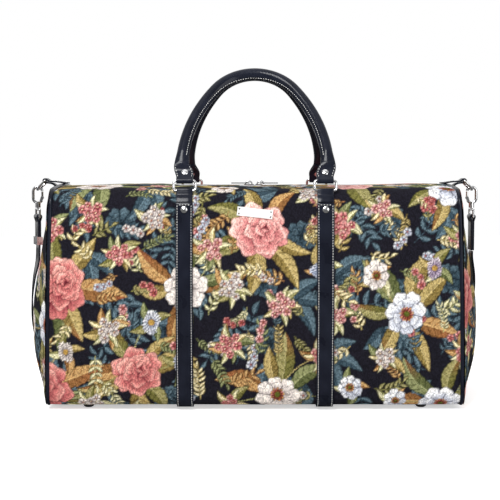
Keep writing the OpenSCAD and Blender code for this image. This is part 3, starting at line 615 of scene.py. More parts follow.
# %% Petals, leaves and stems
YARN_EDGE = (-0.5, 0.5)
CONTOUR = (0.3, 1.5)
MIDRIB_HALF_W = 0.9
STEM_STEPS = 24


def petals(cloth, centre, radius, count, turn, tones, root=0.0, frill=0.05, flat=1.0, lean=0.0, slim=0.2):
    """A ring of petals: root is the hidden share, flat and lean tilt it, and slim parts the petals."""
    spots, colours = cloth
    near = window(spots, centre, radius * 1.2)
    if not len(near):
        return
    away = spots[near] - centre
    c, s = math.cos(lean), math.sin(lean)
    along = away[:, 0] * c + away[:, 1] * s
    across = (away[:, 1] * c - away[:, 0] * s) / flat
    r, a = np.hypot(along, across), np.arctan2(across, along) - turn
    which = np.floor(a * count / (2 * math.pi)) % count
    share = (a * count / (2 * math.pi)) % 1 - 0.5
    reach = 1 + 0.08 * np.sin(which * 5.1 + turn * 9)
    lip = radius * reach * (1 - slim + slim * np.sqrt(np.abs(np.cos(math.pi * share))))
    lip = lip * (1 + frill * np.sin(share * 11 + which * 2.3) * np.cos(math.pi * share))
    t = np.clip((r / lip - root) / (1 - root), 0, 1)
    light = 0.08 + 0.8 * t ** 1.2 - 0.3 * np.abs(share * 2) ** 3
    light = light + 0.14 * np.cos(share * 34) * (1 - t)
    light = light + 0.12 * np.sin(which * 7.3 + turn * 5) + 0.16 * (away @ SUN) / radius
    tone = blend_tones(tones, np.clip(light, 0, 1))
    side = (0.5 - np.abs(share)) * 2 * math.pi / count * r
    line = np.maximum(0.9 * (1 - smoothstep(*CONTOUR, side)), 0.7 * (1 - smoothstep(*CONTOUR, lip - r)))
    tone = tone + (tones[0] * 0.5 - tone) * line[:, None]
    lay(colours, near, 1 - smoothstep(*YARN_EDGE, r - lip), tone)


def dot(cloth, centre, radius, tone):
    spots, colours = cloth
    near = window(spots, centre, radius + 1)
    r = np.hypot(*(spots[near] - centre).T)
    lay(colours, near, 1 - smoothstep(*YARN_EDGE, r - radius), tone)


def leaf(cloth, root, angle, length, width, tones, curl=0.1, teeth=0.0, blush=None):
    """A pointed leaf: one half light, one half dark, with a pale midrib and slanting side veins."""
    spots, colours = cloth
    axis = unit(angle)
    near = window(spots, root + axis * length / 2, length * 0.5 + width)
    away = spots[near] - root
    t = np.clip((away @ axis) / length, -0.2, 1.2)
    side = away @ np.array([-axis[1], axis[0]]) - curl * length * np.sin(math.pi * np.clip(t, 0, 1))
    half = 0.5 * width * np.sin(math.pi * np.clip(t, 0, 1) ** 0.75) ** 0.85
    half = half * (1 - teeth * np.abs(np.sin(t * 24)))
    gap = half - np.abs(side)
    veins = np.abs((t * 7 - np.abs(side) / width * 2.2) % 1 - 0.5)
    light = np.where(side > 0, 0.75, 0.32) + 0.22 * t - 0.3 * (veins < 0.1)
    tone = blend_tones(tones, np.clip(light, 0, 1))
    if blush is not None:
        tone = tone + (blush - tone) * (0.6 * smoothstep(0.35, 1.0, t) * (side < 0))[:, None]
    tone = np.where((np.abs(side) < MIDRIB_HALF_W)[:, None], tones[2], tone)
    tone = tone + (tones[0] * 0.35 - tone) * (0.85 * (1 - smoothstep(0.3, 1.7, gap)))[:, None]
    lay(colours, near, smoothstep(*YARN_EDGE, gap) * ((t > 0) & (t < 1)), tone)


def stem(cloth, start, end, bow, width, tone):
    """A bowed stem. Returns places and directions along it, for leaves to grow from."""
    spots, colours = cloth
    start, end = np.array(start, float), np.array(end, float)
    ahead = end - start
    t = np.linspace(0, 1, STEM_STEPS)[:, None]
    line = start + ahead * t + np.array([-ahead[1], ahead[0]]) * bow * 4 * t * (1 - t)
    reach = np.abs(ahead).max() * 0.5 + np.hypot(*ahead) * abs(bow) + 3
    near = window(spots, (start + end) / 2, reach)
    if len(near):
        r = np.hypot(spots[near, 0][:, None] - line[:, 0], spots[near, 1][:, None] - line[:, 1]).min(1)
        lay(colours, near, 1 - smoothstep(-0.4, 0.6, r - width / 2), tone)
    turns = np.arctan2(*np.gradient(line, axis=0).T[::-1])
    return line, turns


# %% [markdown]
# ### Blooms and sprays
# Big blooms are full roses, some windflowers with a dark eye come between them, and fine-rayed asters and
# clusters of small blossom fill the gaps. Sprays of paired leaves carry the eye from one to the next.

# %% Blooms and sprays
ROSE_RINGS = (
    (1.0, 6, 0.45), (0.82, 5, 0.45), (0.65, 5, 0.4), (0.49, 4, 0.35), (0.34, 3, 0.3), (0.2, 3, 0.0),
)
MOSS = yarn("51591f")


def full_rose(cloth, centre, radius, turn, tones, draw):
    """Rings of petals (size, count, hidden share), each moved a little further to one side."""
    flat, lean = draw.uniform(0.8, 0.95), draw.uniform(0, 3.1)
    drift = radius * 0.05 * unit(turn)
    for k, (share, count, root) in enumerate(ROSE_RINGS):
        petals(cloth, centre + drift * k, radius * share, count, turn + k * 0.83, tones,
               root, frill=0.06, flat=flat, lean=lean, slim=0.28)
    dot(cloth, centre + drift * 5, radius * 0.06, tones[0] * 0.6)


def windflower(cloth, centre, radius, turn, tones):
    """Two rings of broad petals round a dark eye with a circle of gold."""
    petals(cloth, centre, radius, 7, turn, tones, 0.2, 0.04, 0.9, turn)
    petals(cloth, centre, radius * 0.7, 6, turn + 0.5, tones, 0.25, 0.05, 0.9, turn)
    petals(cloth, centre, radius * 0.32, 12, turn, [RUST * 0.6, RUST, ROSES[0][1]], 0.0, 0.1)
    for k in range(9):
        a = turn + k * 0.7
        dot(cloth, centre + radius * 0.3 * unit(a), 1.1, GOLD)
    dot(cloth, centre, radius * 0.12, MOSS)


def aster(cloth, centre, radius, turn, tones, draw):
    """Two rings of fine rays round a gold middle."""
    petals(cloth, centre, radius, 21, turn, tones, 0.2, 0.1, draw.uniform(0.65, 0.95), turn, 0.12)
    petals(cloth, centre, radius * 0.68, 15, turn + 0.2, tones, 0.25, 0.1, 0.85, turn, 0.12)
    dot(cloth, centre, radius * 0.26, GOLD * 0.7)
    dot(cloth, centre - np.array([0.6, 0.6]), radius * 0.15, GOLD)


def cluster(cloth, centre, radius, turn, tones, draw):
    """A rounded head of small five-petalled flowers over a few leaves."""
    for k in range(5):
        a = turn + k * 1.26
        root = centre + radius * 0.35 * unit(a)
        leaf(cloth, root, a + 0.3, radius * 1.1, radius * 0.42, SPRIG[k % 2], 0.1)
    for k in range(int(draw.integers(6, 10))):
        a, r = turn + k * 2.4, radius * 0.82 * math.sqrt(k / 9)
        spot = centre + r * unit(a)
        petals(cloth, spot, draw.uniform(5.2, 7.2), 5, a, tones, 0.25, 0.03, 0.92, a)
        dot(cloth, spot, 1.5, RUST)
        dot(cloth, spot, 0.7, CREAM)


def spray(cloth, start, angle, length, size, tones, draw, tip=None):
    """A stem with leaves in pairs, and buds at its tip if tip gives their tones."""
    end = start + length * unit(angle)
    line, turns = stem(cloth, start, end, draw.uniform(-0.2, 0.2), 1.5, tones[1])
    pairs = max(3, int(length / (size * 0.62)))
    for k in range(pairs):
        i = int(3 + 20 * k / pairs)
        for side in (-1, 1):
            leaf(cloth, line[i], turns[i] + side * draw.uniform(0.7, 1.05),
                 size * draw.uniform(0.8, 1.1), size * 0.46, tones, 0.08 * side)
    leaf(cloth, line[-2], turns[-1], size, size * 0.45, tones)
    if tip:
        for k, i in enumerate((12, 16, 20, 23)):
            away = 5 * unit(turns[i] + 1.5 - k)
            petals(cloth, line[i] + away, draw.uniform(4.2, 6), 5, k, tip, 0.2, 0.03)
            dot(cloth, line[i] + away, 1.2, RUST)


# %% [markdown]
# ### Laying out the garden
# Places are drawn at random and kept only if they are far enough from the blooms that already have a place.
# Teal planting comes first, as the shade behind. Broad olive leaves fan out from under the roses. The sprays
# come before the flowers, so that flowers always lie on top.

# %% Painter
def scatter(draw, low, high, gap, tries, taken=()):
    """Places at least gap apart, and clear of what is taken, which holds (x, y, radius)."""
    kept = []
    for x, y in draw.uniform(low, high, (tries, 2)):
        clear = all(math.hypot(x - p, y - q) > gap * 0.5 + r for p, q, r in taken)
        if clear and all(math.hypot(x - p, y - q) > gap for p, q in kept):
            kept.append((x, y))
    return [np.array(k) for k in kept]


def pick(draw, things):
    return things[draw.integers(len(things))]


def any_turn(draw):
    return draw.uniform(0, 2 * math.pi)


# %% [markdown]
# Each layer of the garden is a function of its own. The draws come in a fixed order, so adding one in the
# middle would change every flower after it.

# %% Planting behind the blooms
def plant_shade(cloth, draw, places):
    """Teal blooms, sprays and leaf fans that lie deepest."""
    for place in places:
        kind = draw.uniform()
        if kind < 0.3:
            for k in range(3):
                petals(cloth, place, 22 * (1 - 0.28 * k), 8 - k, any_turn(draw), TEAL,
                       root=0.45, frill=0.06, flat=0.9, lean=k)
        elif kind < 0.75:
            spray(cloth, place, any_turn(draw), draw.uniform(45, 80), draw.uniform(14, 21), TEAL, draw)
        else:
            a = any_turn(draw)
            for k in range(3):
                leaf(cloth, place, a + (k - 1) * 0.8, draw.uniform(38, 58), 21, TEAL, curl=0.1, teeth=0.1)


def fan_leaves(cloth, draw, blooms):
    """Seven broad leaves out from under each big bloom, some of them turning rusty."""
    for place in blooms:
        first = any_turn(draw)
        for k in range(7):
            a = first + k * 0.9 + draw.uniform(-0.25, 0.25)
            root = place + 18 * unit(a)
            length = draw.uniform(46, 74)
            leaf(cloth, root, a + draw.uniform(-0.35, 0.35), length, length * draw.uniform(0.32, 0.46),
                 pick(draw, OLIVES), curl=draw.uniform(-0.16, 0.16), teeth=0.08,
                 blush=RUST if draw.uniform() < 0.35 else None)


def fill_gaps(cloth, draw, gaps):
    """Small sprays where no flower has a place."""
    for place in gaps:
        tip = pick(draw, ROSES + WHITES) if draw.uniform() < 0.35 else None
        tones = pick(draw, OLIVES + [TEAL, TEAL] + SPRIG)
        spray(cloth, place, any_turn(draw), draw.uniform(24, 46), draw.uniform(8, 14), tones, draw, tip)


def join_stems(cloth, draw, middling, big):
    """Stems from some of the smaller flowers to a big bloom that is near."""
    for place in middling:
        for other in big:
            if np.hypot(*(place - other)) < 85 and draw.uniform() < 0.6:
                stem(cloth, place, other, draw.uniform(-0.2, 0.2), 2.0, pick(draw, SPRIG)[1])
                break


# %% Flowers and the whole cloth
BLOOM_GAP, BLOOM_TRIES, BLOOM_CLEAR = 122, 900, 32
MIDDLING_GAP, MIDDLING_TRIES, MIDDLING_CLEAR = 56, 1500, 14
SPRAY_GAP, SPRAY_TRIES = 27, 2500
SHADE_GAP, SHADE_TRIES = 44, 1200
CLOTH_MARGIN = 15


def grow_middling(cloth, draw, places):
    for place in places:
        first = any_turn(draw)
        for k in range(4):
            length = draw.uniform(22, 36)
            leaf(cloth, place, first + k * 1.6, length, length * 0.42, pick(draw, OLIVES + SPRIG[:1]), 0.12)
        kind = draw.uniform()
        if kind < 0.3:
            aster(cloth, place, draw.uniform(14, 19), any_turn(draw), pick(draw, LILACS + WHITES), draw)
        elif kind < 0.85:
            cluster(cloth, place, draw.uniform(15, 21), any_turn(draw),
                    pick(draw, [ROSES[2], WHITES[1], ROSES[0]]), draw)
        else:
            windflower(cloth, place, draw.uniform(15, 20), any_turn(draw), pick(draw, WHITES))


def grow_big(cloth, draw, places):
    for place in places:
        if draw.uniform() < 0.72:
            full_rose(cloth, place, draw.uniform(34, 44), any_turn(draw), pick(draw, ROSES), draw)
        else:
            windflower(cloth, place, draw.uniform(28, 35), any_turn(draw), pick(draw, WHITES))


def paint(spots, seed):
    """Yarn colour of every cloth point, from its place on the flat cloth in millimetres."""
    draw = np.random.default_rng(seed)
    low, high = spots.min(0) - CLOTH_MARGIN, spots.max(0) + CLOTH_MARGIN
    colours = np.tile(GROUND, (len(spots), 1))
    cloth = spots, colours
    big = scatter(draw, low, high, BLOOM_GAP, BLOOM_TRIES)
    taken = [(x, y, BLOOM_CLEAR) for x, y in big]
    middling = scatter(draw, low, high, MIDDLING_GAP, MIDDLING_TRIES, taken)
    taken += [(x, y, MIDDLING_CLEAR) for x, y in middling]
    gaps = scatter(draw, low, high, SPRAY_GAP, SPRAY_TRIES, taken)
    plant_shade(cloth, draw, scatter(draw, low, high, SHADE_GAP, SHADE_TRIES))
    fan_leaves(cloth, draw, big)
    fill_gaps(cloth, draw, gaps)
    join_stems(cloth, draw, middling, big)
    grow_middling(cloth, draw, middling)
    grow_big(cloth, draw, big)
    print("painted", len(big), "big blooms,", len(middling), "middling ones and", len(gaps), "sprays")
    return colours


def dye(piece, spots, seed):
    """Stores the yarn colours and the place on the flat cloth as attributes of the mesh."""
    colours = np.ones((len(spots), 4))
    colours[:, :3] = paint(spots, seed)
    layer = piece.data.attributes.new("yarn", "FLOAT_COLOR", "POINT")
    layer.data.foreach_set("color", colours.ravel())
    flat = np.zeros((len(spots), 3))
    flat[:, :2] = spots
    place = piece.data.attributes.new("cloth_mm", "FLOAT_VECTOR", "POINT")
    place.data.foreach_set("vector", flat.ravel())


# %% [markdown]
# ## Front and back panels
# One panel runs from the base seam up the front and over the top edge to the zip. On a filled bag the cloth
# isn't flat: it swells between the straps, dips where the straps pull, and tucks in under the piping.
# The dips stay shallow, so that straps and plate still lie on the cloth. The last strip folds down at the
# zip.

# %% Panels
STRAP_X = 91.0
STRAP_W = 22.0
CLOTH_STEP = 1.5
ZIP_FOLD = 4.0
PIPING_TUCK, PIPING_TUCK_W = 1.4, 9
ZIP_TUCK, ZIP_TUCK_W = 0.8, 8
SEAM_LAP = 1.0
PLATE_S = 255
CLOTH_ANGLE = 60


def cloth_waves(x, s):
    """Slow swells of the cloth, in millimetres, never standing out where a strap or the plate has to lie."""
    slow = np.sin(x / 57 + 0.7) * np.sin(s / 83 + 0.4) + 0.6 * np.sin(x / 31 - s / 47 + 1.9)
    fine = 0.35 * np.sin(x / 13 + s / 29) * np.sin(s / 17 + 0.8)
    free = smoothstep(13, 40, np.abs(np.abs(x) - STRAP_X))
    middle = smoothstep(30, 60, np.hypot(x, s - PLATE_S))
    return (0.9 * slow + 0.5 * fine) * free * middle - 0.5


def make_panel(name, node, seed, back):
    """The front cloth, or its mirror image at the back, with flowers drawn from seed."""
    across = int((BODY_W - 2 * END_INSET) / CLOTH_STEP)
    along = int((FRONT_LENGTH + ZIP_FOLD) / CLOTH_STEP)
    flat = {}

    def place(u, v):
        run = v * (FRONT_LENGTH + ZIP_FOLD)
        s = np.minimum(run, FRONT_LENGTH)
        fold = run - s
        y, z, ny, nz = on_front(s, 0.0)
        reach = end_x(z) - END_INSET + SEAM_LAP
        x = (2 * u - 1) * reach
        edge = reach - np.abs(x)
        d = cloth_waves(x, s) - PIPING_TUCK * (1 - smoothstep(0, PIPING_TUCK_W, edge))
        d = d - ZIP_TUCK * (1 - smoothstep(0, ZIP_TUCK_W, FRONT_LENGTH - s))
        d = d * smoothstep(-1, 12, s)
        y = y + ny * d + np.minimum(fold, 0.6) * 0.4
        z = z + nz * d - fold
        flat["spots"] = np.stack([(2 * u - 1) * (BODY_W / 2), run], axis=1)
        return x, (-y if back else y), z

    panel = grid_piece(name, across, along, place)
    dye(panel, flat["spots"], seed)
    face_outwards(panel, (0, 0, FOOT_H + BODY_H / 2))
    smooth(panel, CLOTH_ANGLE)
    finish_piece(panel, tapestry, "bag", "tapestry", node)


make_panel("front_cloth", "front_panel", 41, False)
make_panel("back_cloth", "back_panel", 77, True)

# %% [markdown]
# ## Bottom panel
# The bottom is a flat piece of the same cloth between the two panels. It rests on the board inside.

# %% Bottom
BOTTOM_LAP = 0.5
BOTTOM_RISE = 0.4
BOTTOM_SAG = 0.6
BOTTOM_SEED = 13


def make_bottom():
    half = -base_c[0] + BOTTOM_LAP
    flat = {}

    def place(u, v):
        x = (2 * u - 1) * (end_x(FOOT_H) - END_INSET + SEAM_LAP)
        y = (2 * v - 1) * half
        flat["spots"] = np.stack([x, y], axis=1)
        sag = BOTTOM_SAG * np.cos(math.pi * (v - 0.5)) * np.cos(math.pi * (u - 0.5))
        return x, y, np.full_like(x, FOOT_H + BOTTOM_RISE) - sag

    bottom = grid_piece("bottom_cloth", 180, 64, place)
    dye(bottom, flat["spots"], BOTTOM_SEED)
    face_outwards(bottom, (0, 0, FOOT_H + BODY_H / 2))
    smooth(bottom, CLOTH_ANGLE)
    finish_piece(bottom, tapestry, "bag", "tapestry", "bottom_panel")


make_bottom()

# %% [markdown]
# ## End panels
# Each end is a pillow held by its piped seam. A square grid is eased onto the outline: squares of growing
# size become outlines of growing size, so the rim fits the seam exactly and there is no pole in the middle.
# The swell is fullest low down, where the load sits, and a few creases run in from the corners.

# %% End panels
RIM_COUNT = 1201
SWELL_SHARE = 0.37
MIDDLE_SHARE = 0.42
RIM_TUCK = 2.0
CREASE = 1.2
MOTIF_SHIFT = 40


def rim_points(count):
    """Points round the end outline, evenly spaced, starting at the middle of the bottom."""
    half = np.linspace(0, FRONT_LENGTH, 400)
    y, z, _, _ = on_front(half, 0.0)
    y = np.concatenate([[0], y, [0]])
    z = np.concatenate([[FOOT_H], z, [FOOT_H + BODY_H]])
    loop_y = np.concatenate([y, -y[::-1]])
    loop_z = np.concatenate([z, z[::-1]])
    run = np.concatenate([[0], np.cumsum(np.hypot(np.diff(loop_y), np.diff(loop_z)))])
    at = np.linspace(0, run[-1], count)
    return np.interp(at, run, loop_y), np.interp(at, run, loop_z)


def end_bulge(y, z):
    """How far the filled end stands out of its seam."""
    middle = FOOT_H + SWELL_SHARE * BODY_H
    up = np.clip((z - middle) / (FOOT_H + BODY_H - middle), 0, 1)
    down = np.clip((middle - z) / (middle - FOOT_H), 0, 1)
    wide = np.clip(np.abs(y) / (BODY_D / 2), 0, 1)
    return END_SWELL * (1 - wide ** 2.2) ** 0.9 * (1 - up ** 1.7) ** 1.25 * (1 - down ** 2.2) ** 0.9


def lap_share(p, q):
    """How far round the rim of a square, as a share, the point (p, q) lies."""
    lap = np.where(p <= -1 + ROUNDING, 2 + q, np.where(q >= 1 - ROUNDING, 4 + p, 6 - q))
    return (np.where(q <= -1 + ROUNDING, -p, lap) % 8) / 8


def make_end(name, node, side, seed):
    rim_y, rim_z = rim_points(RIM_COUNT)
    rim_share = np.linspace(0, 1, RIM_COUNT)
    mid_z = FOOT_H + MIDDLE_SHARE * BODY_H
    flat = {}

    def place(u, v):
        a, b = 2 * u - 1, 2 * v - 1
        ring = np.maximum(np.abs(a), np.abs(b))
        safe = np.maximum(ring, 1e-6)
        lap = lap_share(a / safe, b / safe)
        y = ring * np.interp(lap, rim_share, rim_y)
        z = mid_z + ring * (np.interp(lap, rim_share, rim_z) - mid_z)
        rise = end_bulge(y, z) * (1 - ring ** 5)
        fold = np.sin(z / 15 + y / 40 * np.sign(y + 0.01)) * np.sin(y / 23 + 0.5)
        crease = CREASE * fold * ring * (1 - ring ** 4)
        inward = RIM_TUCK * smoothstep(0.93, 1.0, ring)
        x = end_x(z) + END_INSET + CLOTH_T + rise + crease - inward
        flat["spots"] = np.stack([y + MOTIF_SHIFT, z], axis=1)
        return side * x, y, z

    panel = grid_piece(name, 150, 170, place)
    dye(panel, flat["spots"], seed)
    face_outwards(panel, (0, 0, FOOT_H + BODY_H / 2))
    smooth(panel, CLOTH_ANGLE)
    finish_piece(panel, tapestry, "bag", "tapestry", node)


make_end("left_end_cloth", "left_gusset", -1, 5)
make_end("right_end_cloth", "right_gusset", 1, 29)

# %% [markdown]
# ## Piping
# A leather-covered cord is caught in each end seam. A curve with a round bevel follows the outline in the
# leaning end plane, and is then turned into a mesh.

# %% Piping
def ring_tube(name, points, radius):
    """A closed round tube through points in millimetres: a curve with a bevel, turned into a mesh."""
    data = bpy.data.curves.new(name, "CURVE")
    data.dimensions = "3D"
    data.bevel_depth = radius * MM
    data.bevel_resolution = 3
    line = data.splines.new("POLY")
    line.points.add(len(points) - 1)
    line.points.foreach_set("co", np.column_stack([np.array(points) * MM, np.ones(len(points))]).ravel())
    line.use_cyclic_u = True
    piece = bpy.data.objects.new(name, data)
    bpy.context.scene.collection.objects.link(piece)
    select_only(piece)
    bpy.ops.object.convert(target="MESH")
    return bpy.context.object


def make_piping(name, node, side):
    half = np.linspace(0, FRONT_LENGTH, 150)
    y, z, _, _ = on_front(half, PIPING_PROUD - PIPING_R)
    top_z = FOOT_H + BODY_H + PIPING_PROUD - PIPING_R
    rising = list(zip(y, z))
    loop = rising + [(0, top_z)] + [(-yy, zz) for yy, zz in rising[::-1]]
    points = [(side * end_x(zz), yy, zz) for yy, zz in loop]
    piping = ring_tube(name, points, PIPING_R)
    smooth(piping, CLOTH_ANGLE)
    finish_piece(piping, leather, "bag", "black_leather", node)


make_piping("left_piping_bead", "left_piping", -1)
make_piping("right_piping_bead", "right_piping", 1)

# %% [markdown]
# ## Stitches
# Every leather edge is sewn with thick white thread. One stitch is a small sphere, drawn out and flattened.
# It is modelled once and copied along a seam line, sunk a little into the leather, with a gap after each.
# Blender lists the faces of a new sphere in an order that changes from run to run, so they are sorted.

# %% One stitch
STITCH_L = 2.6
STITCH_PITCH = 3.4
STITCH_W = 0.95
STITCH_SINK = 0.1
deselect()
bpy.ops.mesh.primitive_uv_sphere_add(segments=6, ring_count=4, radius=0.5)
stitch_model = bpy.context.object
STITCH_POINTS = np.array([v.co[:] for v in stitch_model.data.vertices])
STITCH_FACES = sorted(tuple(p.vertices) for p in stitch_model.data.polygons)
bpy.data.objects.remove(stitch_model)


def run_along(points):
    """The distance from the first point to each point along a line."""
    return np.concatenate([[0], np.cumsum(np.linalg.norm(np.diff(points, axis=0), axis=1))])


def seam(name, lines, body):
    """Stitches along lines, each a list of (place, outward direction) in millimetres."""
    spots, faces = [], []
    for line in lines:
        places = np.array([p for p, _ in line], float)
        outs = np.array([n for _, n in line], float)
        run = run_along(places)
        count = max(1, int(run[-1] / STITCH_PITCH))
        for k in range(count):
            at = (k + 0.5) * run[-1] / count
            wanted = ((at, places), (min(at + 1, run[-1]), places), (max(at - 1, 0), places), (at, outs))
            middle, ahead, behind, out = (
                np.array([np.interp(t, run, column) for column in table.T]) for t, table in wanted)
            along = (ahead - behind) / np.linalg.norm(ahead - behind)
            out = out - along * (out @ along)
            out = out / np.linalg.norm(out)
            wide = np.cross(out, along)
            shape = STITCH_POINTS[:, 2:3] * STITCH_L * along + STITCH_POINTS[:, 0:1] * STITCH_W * wide
            shape = shape + STITCH_POINTS[:, 1:2] * STITCH_W * out
            first = len(spots) * len(STITCH_POINTS)
            spots.append(shape + middle - out * STITCH_SINK)
            faces += [tuple(first + i for i in f) for f in STITCH_FACES]
    mesh = bpy.data.meshes.new(name)
    mesh.from_pydata((np.concatenate(spots) * MM).tolist(), [], faces)
    piece = bpy.data.objects.new(name, mesh)
    bpy.context.scene.collection.objects.link(piece)
    weld(piece)
    smooth(piece, 80)
    finish_piece(piece, thread, body, "black_leather")


# %% [markdown]
# ## Body straps
# A strap starts squarely below its ring at the front, runs down, under the bottom and up the back.
# It is a strip of grid laid along the outline, given thickness and soft edges, and sewn along both edges.
# Straps and tabs are pared a little thinner than the solids, so that they keep clear of what they lie on.

# %% Strap path
STRAP_T = 2.6
STRAP_EDGE = 0.7
PARED = 0.1
STRAP_END_A = 163.0
STITCH_IN = 2.0
strap_up = shoulder_s(STRAP_END_A)


def strap_path(run, d):
    """Place and outward direction at a share of the way from the front end, under the bag, to the back."""
    flat_half = -base_c[0]
    total = 2 * strap_up + 2 * flat_half
    at = run * total
    s = np.where(at < total / 2, strap_up - at, strap_up - (total - at))
    y, z, ny, nz = on_front(np.maximum(s, 0), d)
    under = s < 0
    y = np.where(under, base_c[0] - s, y)
    z = np.where(under, FOOT_H - d, z)
    ny = np.where(under, 0, ny)
    nz = np.where(under, -1, nz)
    turn = np.where(at < total / 2, 1, -1)
    return y * turn, z, ny * turn, nz


def make_strap(name, node, x0):
    def place(u, v):
        y, z, _, _ = strap_path(v, SEAT + STRAP_T / 2)
        return x0 + (2 * u - 1) * (STRAP_W / 2), y, z

    strap = grid_piece(name, 4, 220, place)
    thicken(strap, STRAP_T - PARED, STRAP_EDGE)
    smooth(strap)
    finish_piece(strap, leather, "bag", "black_leather", node)
    share = np.linspace(0.004, 0.996, 300)
    y, z, ny, nz = strap_path(share, SEAT + STRAP_T - PARED / 2)
    lines = []
    for dx in (-1, 1):
        x = x0 + dx * (STRAP_W / 2 - STITCH_IN)
        lines.append([((x, yy, zz), (0, a, b)) for yy, zz, a, b in zip(y, z, ny, nz)])
    for k in (0, -1):
        half = STRAP_W / 2 - STITCH_IN - 1.5
        lines.append([((x0 + dx, y[k], z[k]), (0, ny[k], nz[k])) for dx in np.linspace(-half, half, 9)])
    seam(name + "_stitches", lines, "bag")


make_strap("left_leather_strap", "left_strap", -STRAP_X)
make_strap("right_leather_strap", "right_strap", STRAP_X)

# %% [markdown]
# ## Ring loops
# Above each strap a plain leather loop goes round the lower bar of the ring and back on itself. The strip
# follows the top edge, goes half round the bar, and comes back down outside.

# %% Ring loops
RING_R = 1.75
LOOP_A = 128.0
LOOP_W = 21.0
LOOP_T = 1.3
LOOP_EDGE = 0.35
BAR_GAP = 0.1
LAYER_GAP = 0.1
EYE_WALL, EYE_LIFT = 1.45, 0.15
eye_d = SEAT + RING_R + EYE_WALL + EYE_LIFT
loop_out = unit(math.radians(LOOP_A))
eye_c = shoulder_c + (SHOULDER_R + eye_d) * loop_out + np.array([0, FOOT_H])


def on_shoulder(angle, d):
    """Places (y, z) on the top edge at angles in degrees, d over the cloth."""
    a, r = np.radians(angle), SHOULDER_R + d
    return np.stack([shoulder_c[0] + r * np.cos(a), shoulder_c[1] + FOOT_H + r * np.sin(a)], axis=-1)


def loop_line():
    """The loop's path in the end view: up under the bar, round it, and down outside."""
    up = np.array([loop_out[1], -loop_out[0]])
    wrap_r = RING_R + BAR_GAP + LOOP_T / 2
    inner = on_shoulder(np.linspace(STRAP_END_A - 1, LOOP_A + 6, 8), SEAT + LOOP_T / 2)
    bend = [eye_c + wrap_r * (-math.cos(t) * loop_out + math.sin(t) * up)
            for t in np.linspace(0, math.pi, 11)]
    outer = on_shoulder(np.linspace(LOOP_A + 12, STRAP_END_A - 1, 7), SEAT + LOOP_T * 1.5 + LAYER_GAP)
    return np.concatenate([inner, bend, outer])


def along_line(points, share):
    """The place at a share of the way along a line of points."""
    run = run_along(points)
    at = share * run[-1]
    return np.stack([np.interp(at, run, points[:, k]) for k in range(points.shape[1])], axis=-1)


def corner_name(back, side, kind):
    """The name of a CAD node of a kind that sits at each of the four handle ends."""
    return ("back_" if back else "front_") + ("left_" if side < 0 else "right_") + kind


def make_loop(name, node, x0, back):
    line = loop_line()

    def place(u, v):
        p = along_line(line, v)
        return x0 + (2 * u - 1) * (LOOP_W / 2), (-p[:, 0] if back else p[:, 0]), p[:, 1]

    loop = grid_piece(name, 3, 60, place)
    thicken(loop, LOOP_T, LOOP_EDGE)
    smooth(loop)
    finish_piece(loop, leather, "bag", "black_leather", node)


for back in (False, True):
    for side in (-1, 1):
        node = corner_name(back, side, "loop")
        make_loop(node + "_leather", node, side * STRAP_X, back)

# %% [markdown]
# ## Rolled handles
# A handle is a strip of leather rolled round a cord and sewn along the inside of the bend. It leans towards
# the other handle until the two almost touch at the top. The arch is three arcs that meet smoothly. It is
# worked out in the handle's own plane first, and that plane is then leaned over.

# %% Handle arch
RING_DROP = 13.0
RING_LEAN = math.radians(14)
HANDLE_RISE = 171.0
HANDLE_HALF_W = STRAP_X + 4.4
HANDLE_TOP_R = 0.69 * HANDLE_HALF_W
HANDLE_WIDE_S = 19.5
HANDLE_R = 8.0
HANDLE_BASE_S = 25.0
ring_top = eye_c + RING_DROP * np.array([math.sin(RING_LEAN), math.cos(RING_LEAN)])
handle_lean = math.asin((-ring_top[0] - HANDLE_R - SEAT / 2) / HANDLE_RISE)
arch_top_s = HANDLE_RISE - HANDLE_TOP_R
arch_ds = arch_top_s - HANDLE_WIDE_S
arch_side_r = (HANDLE_HALF_W ** 2 + arch_ds ** 2 - HANDLE_TOP_R ** 2) / (2 * (HANDLE_HALF_W - HANDLE_TOP_R))
arch_bend = math.atan2(arch_ds, arch_side_r - HANDLE_HALF_W)
arch_low = math.asin((HANDLE_WIDE_S - HANDLE_BASE_S) / arch_side_r)


def arch(share):
    """Middle line (x, s) and outward angle at a share of the way from the right foot to the left foot."""
    side_len = arch_side_r * (arch_bend + arch_low)
    top_len = HANDLE_TOP_R * (math.pi - 2 * arch_bend)
    at = share * (2 * side_len + top_len)
    right = -arch_low + at / arch_side_r
    top = arch_bend + (at - side_len) / HANDLE_TOP_R
    left = math.pi - arch_bend + (at - side_len - top_len) / arch_side_r
    cx = HANDLE_HALF_W - arch_side_r
    first, last = at < side_len, at > side_len + top_len
    angle = np.where(first, right, np.where(last, left, top))
    radius = np.where(first | last, arch_side_r, HANDLE_TOP_R)
    x = np.where(first, cx, np.where(last, -cx, 0)) + radius * np.cos(angle)
    s = np.where(first | last, HANDLE_WIDE_S, arch_top_s) + radius * np.sin(angle)
    return x, s, angle, at, 2 * side_len + top_len


def from_handle(x, out, s, back):
    """A place in the handle's own plane (across, outwards, up along the handle) turned into the bag's."""
    y = ring_top[0] + s * math.sin(handle_lean) - out * math.cos(handle_lean)
    z = ring_top[1] + s * math.cos(handle_lean) + out * math.sin(handle_lean)
    return x, (-y if back else y), z


# %% [markdown]
# ### Tabs at the rings
# Each end of the roll is caught between two layers of a flat tab that goes round the upper bar of the ring.
# One strip of grid makes both layers: down the outside, round the bar and up the inside. Its upper end is
# drawn in and lifted, so that it lies over the flattened roll.

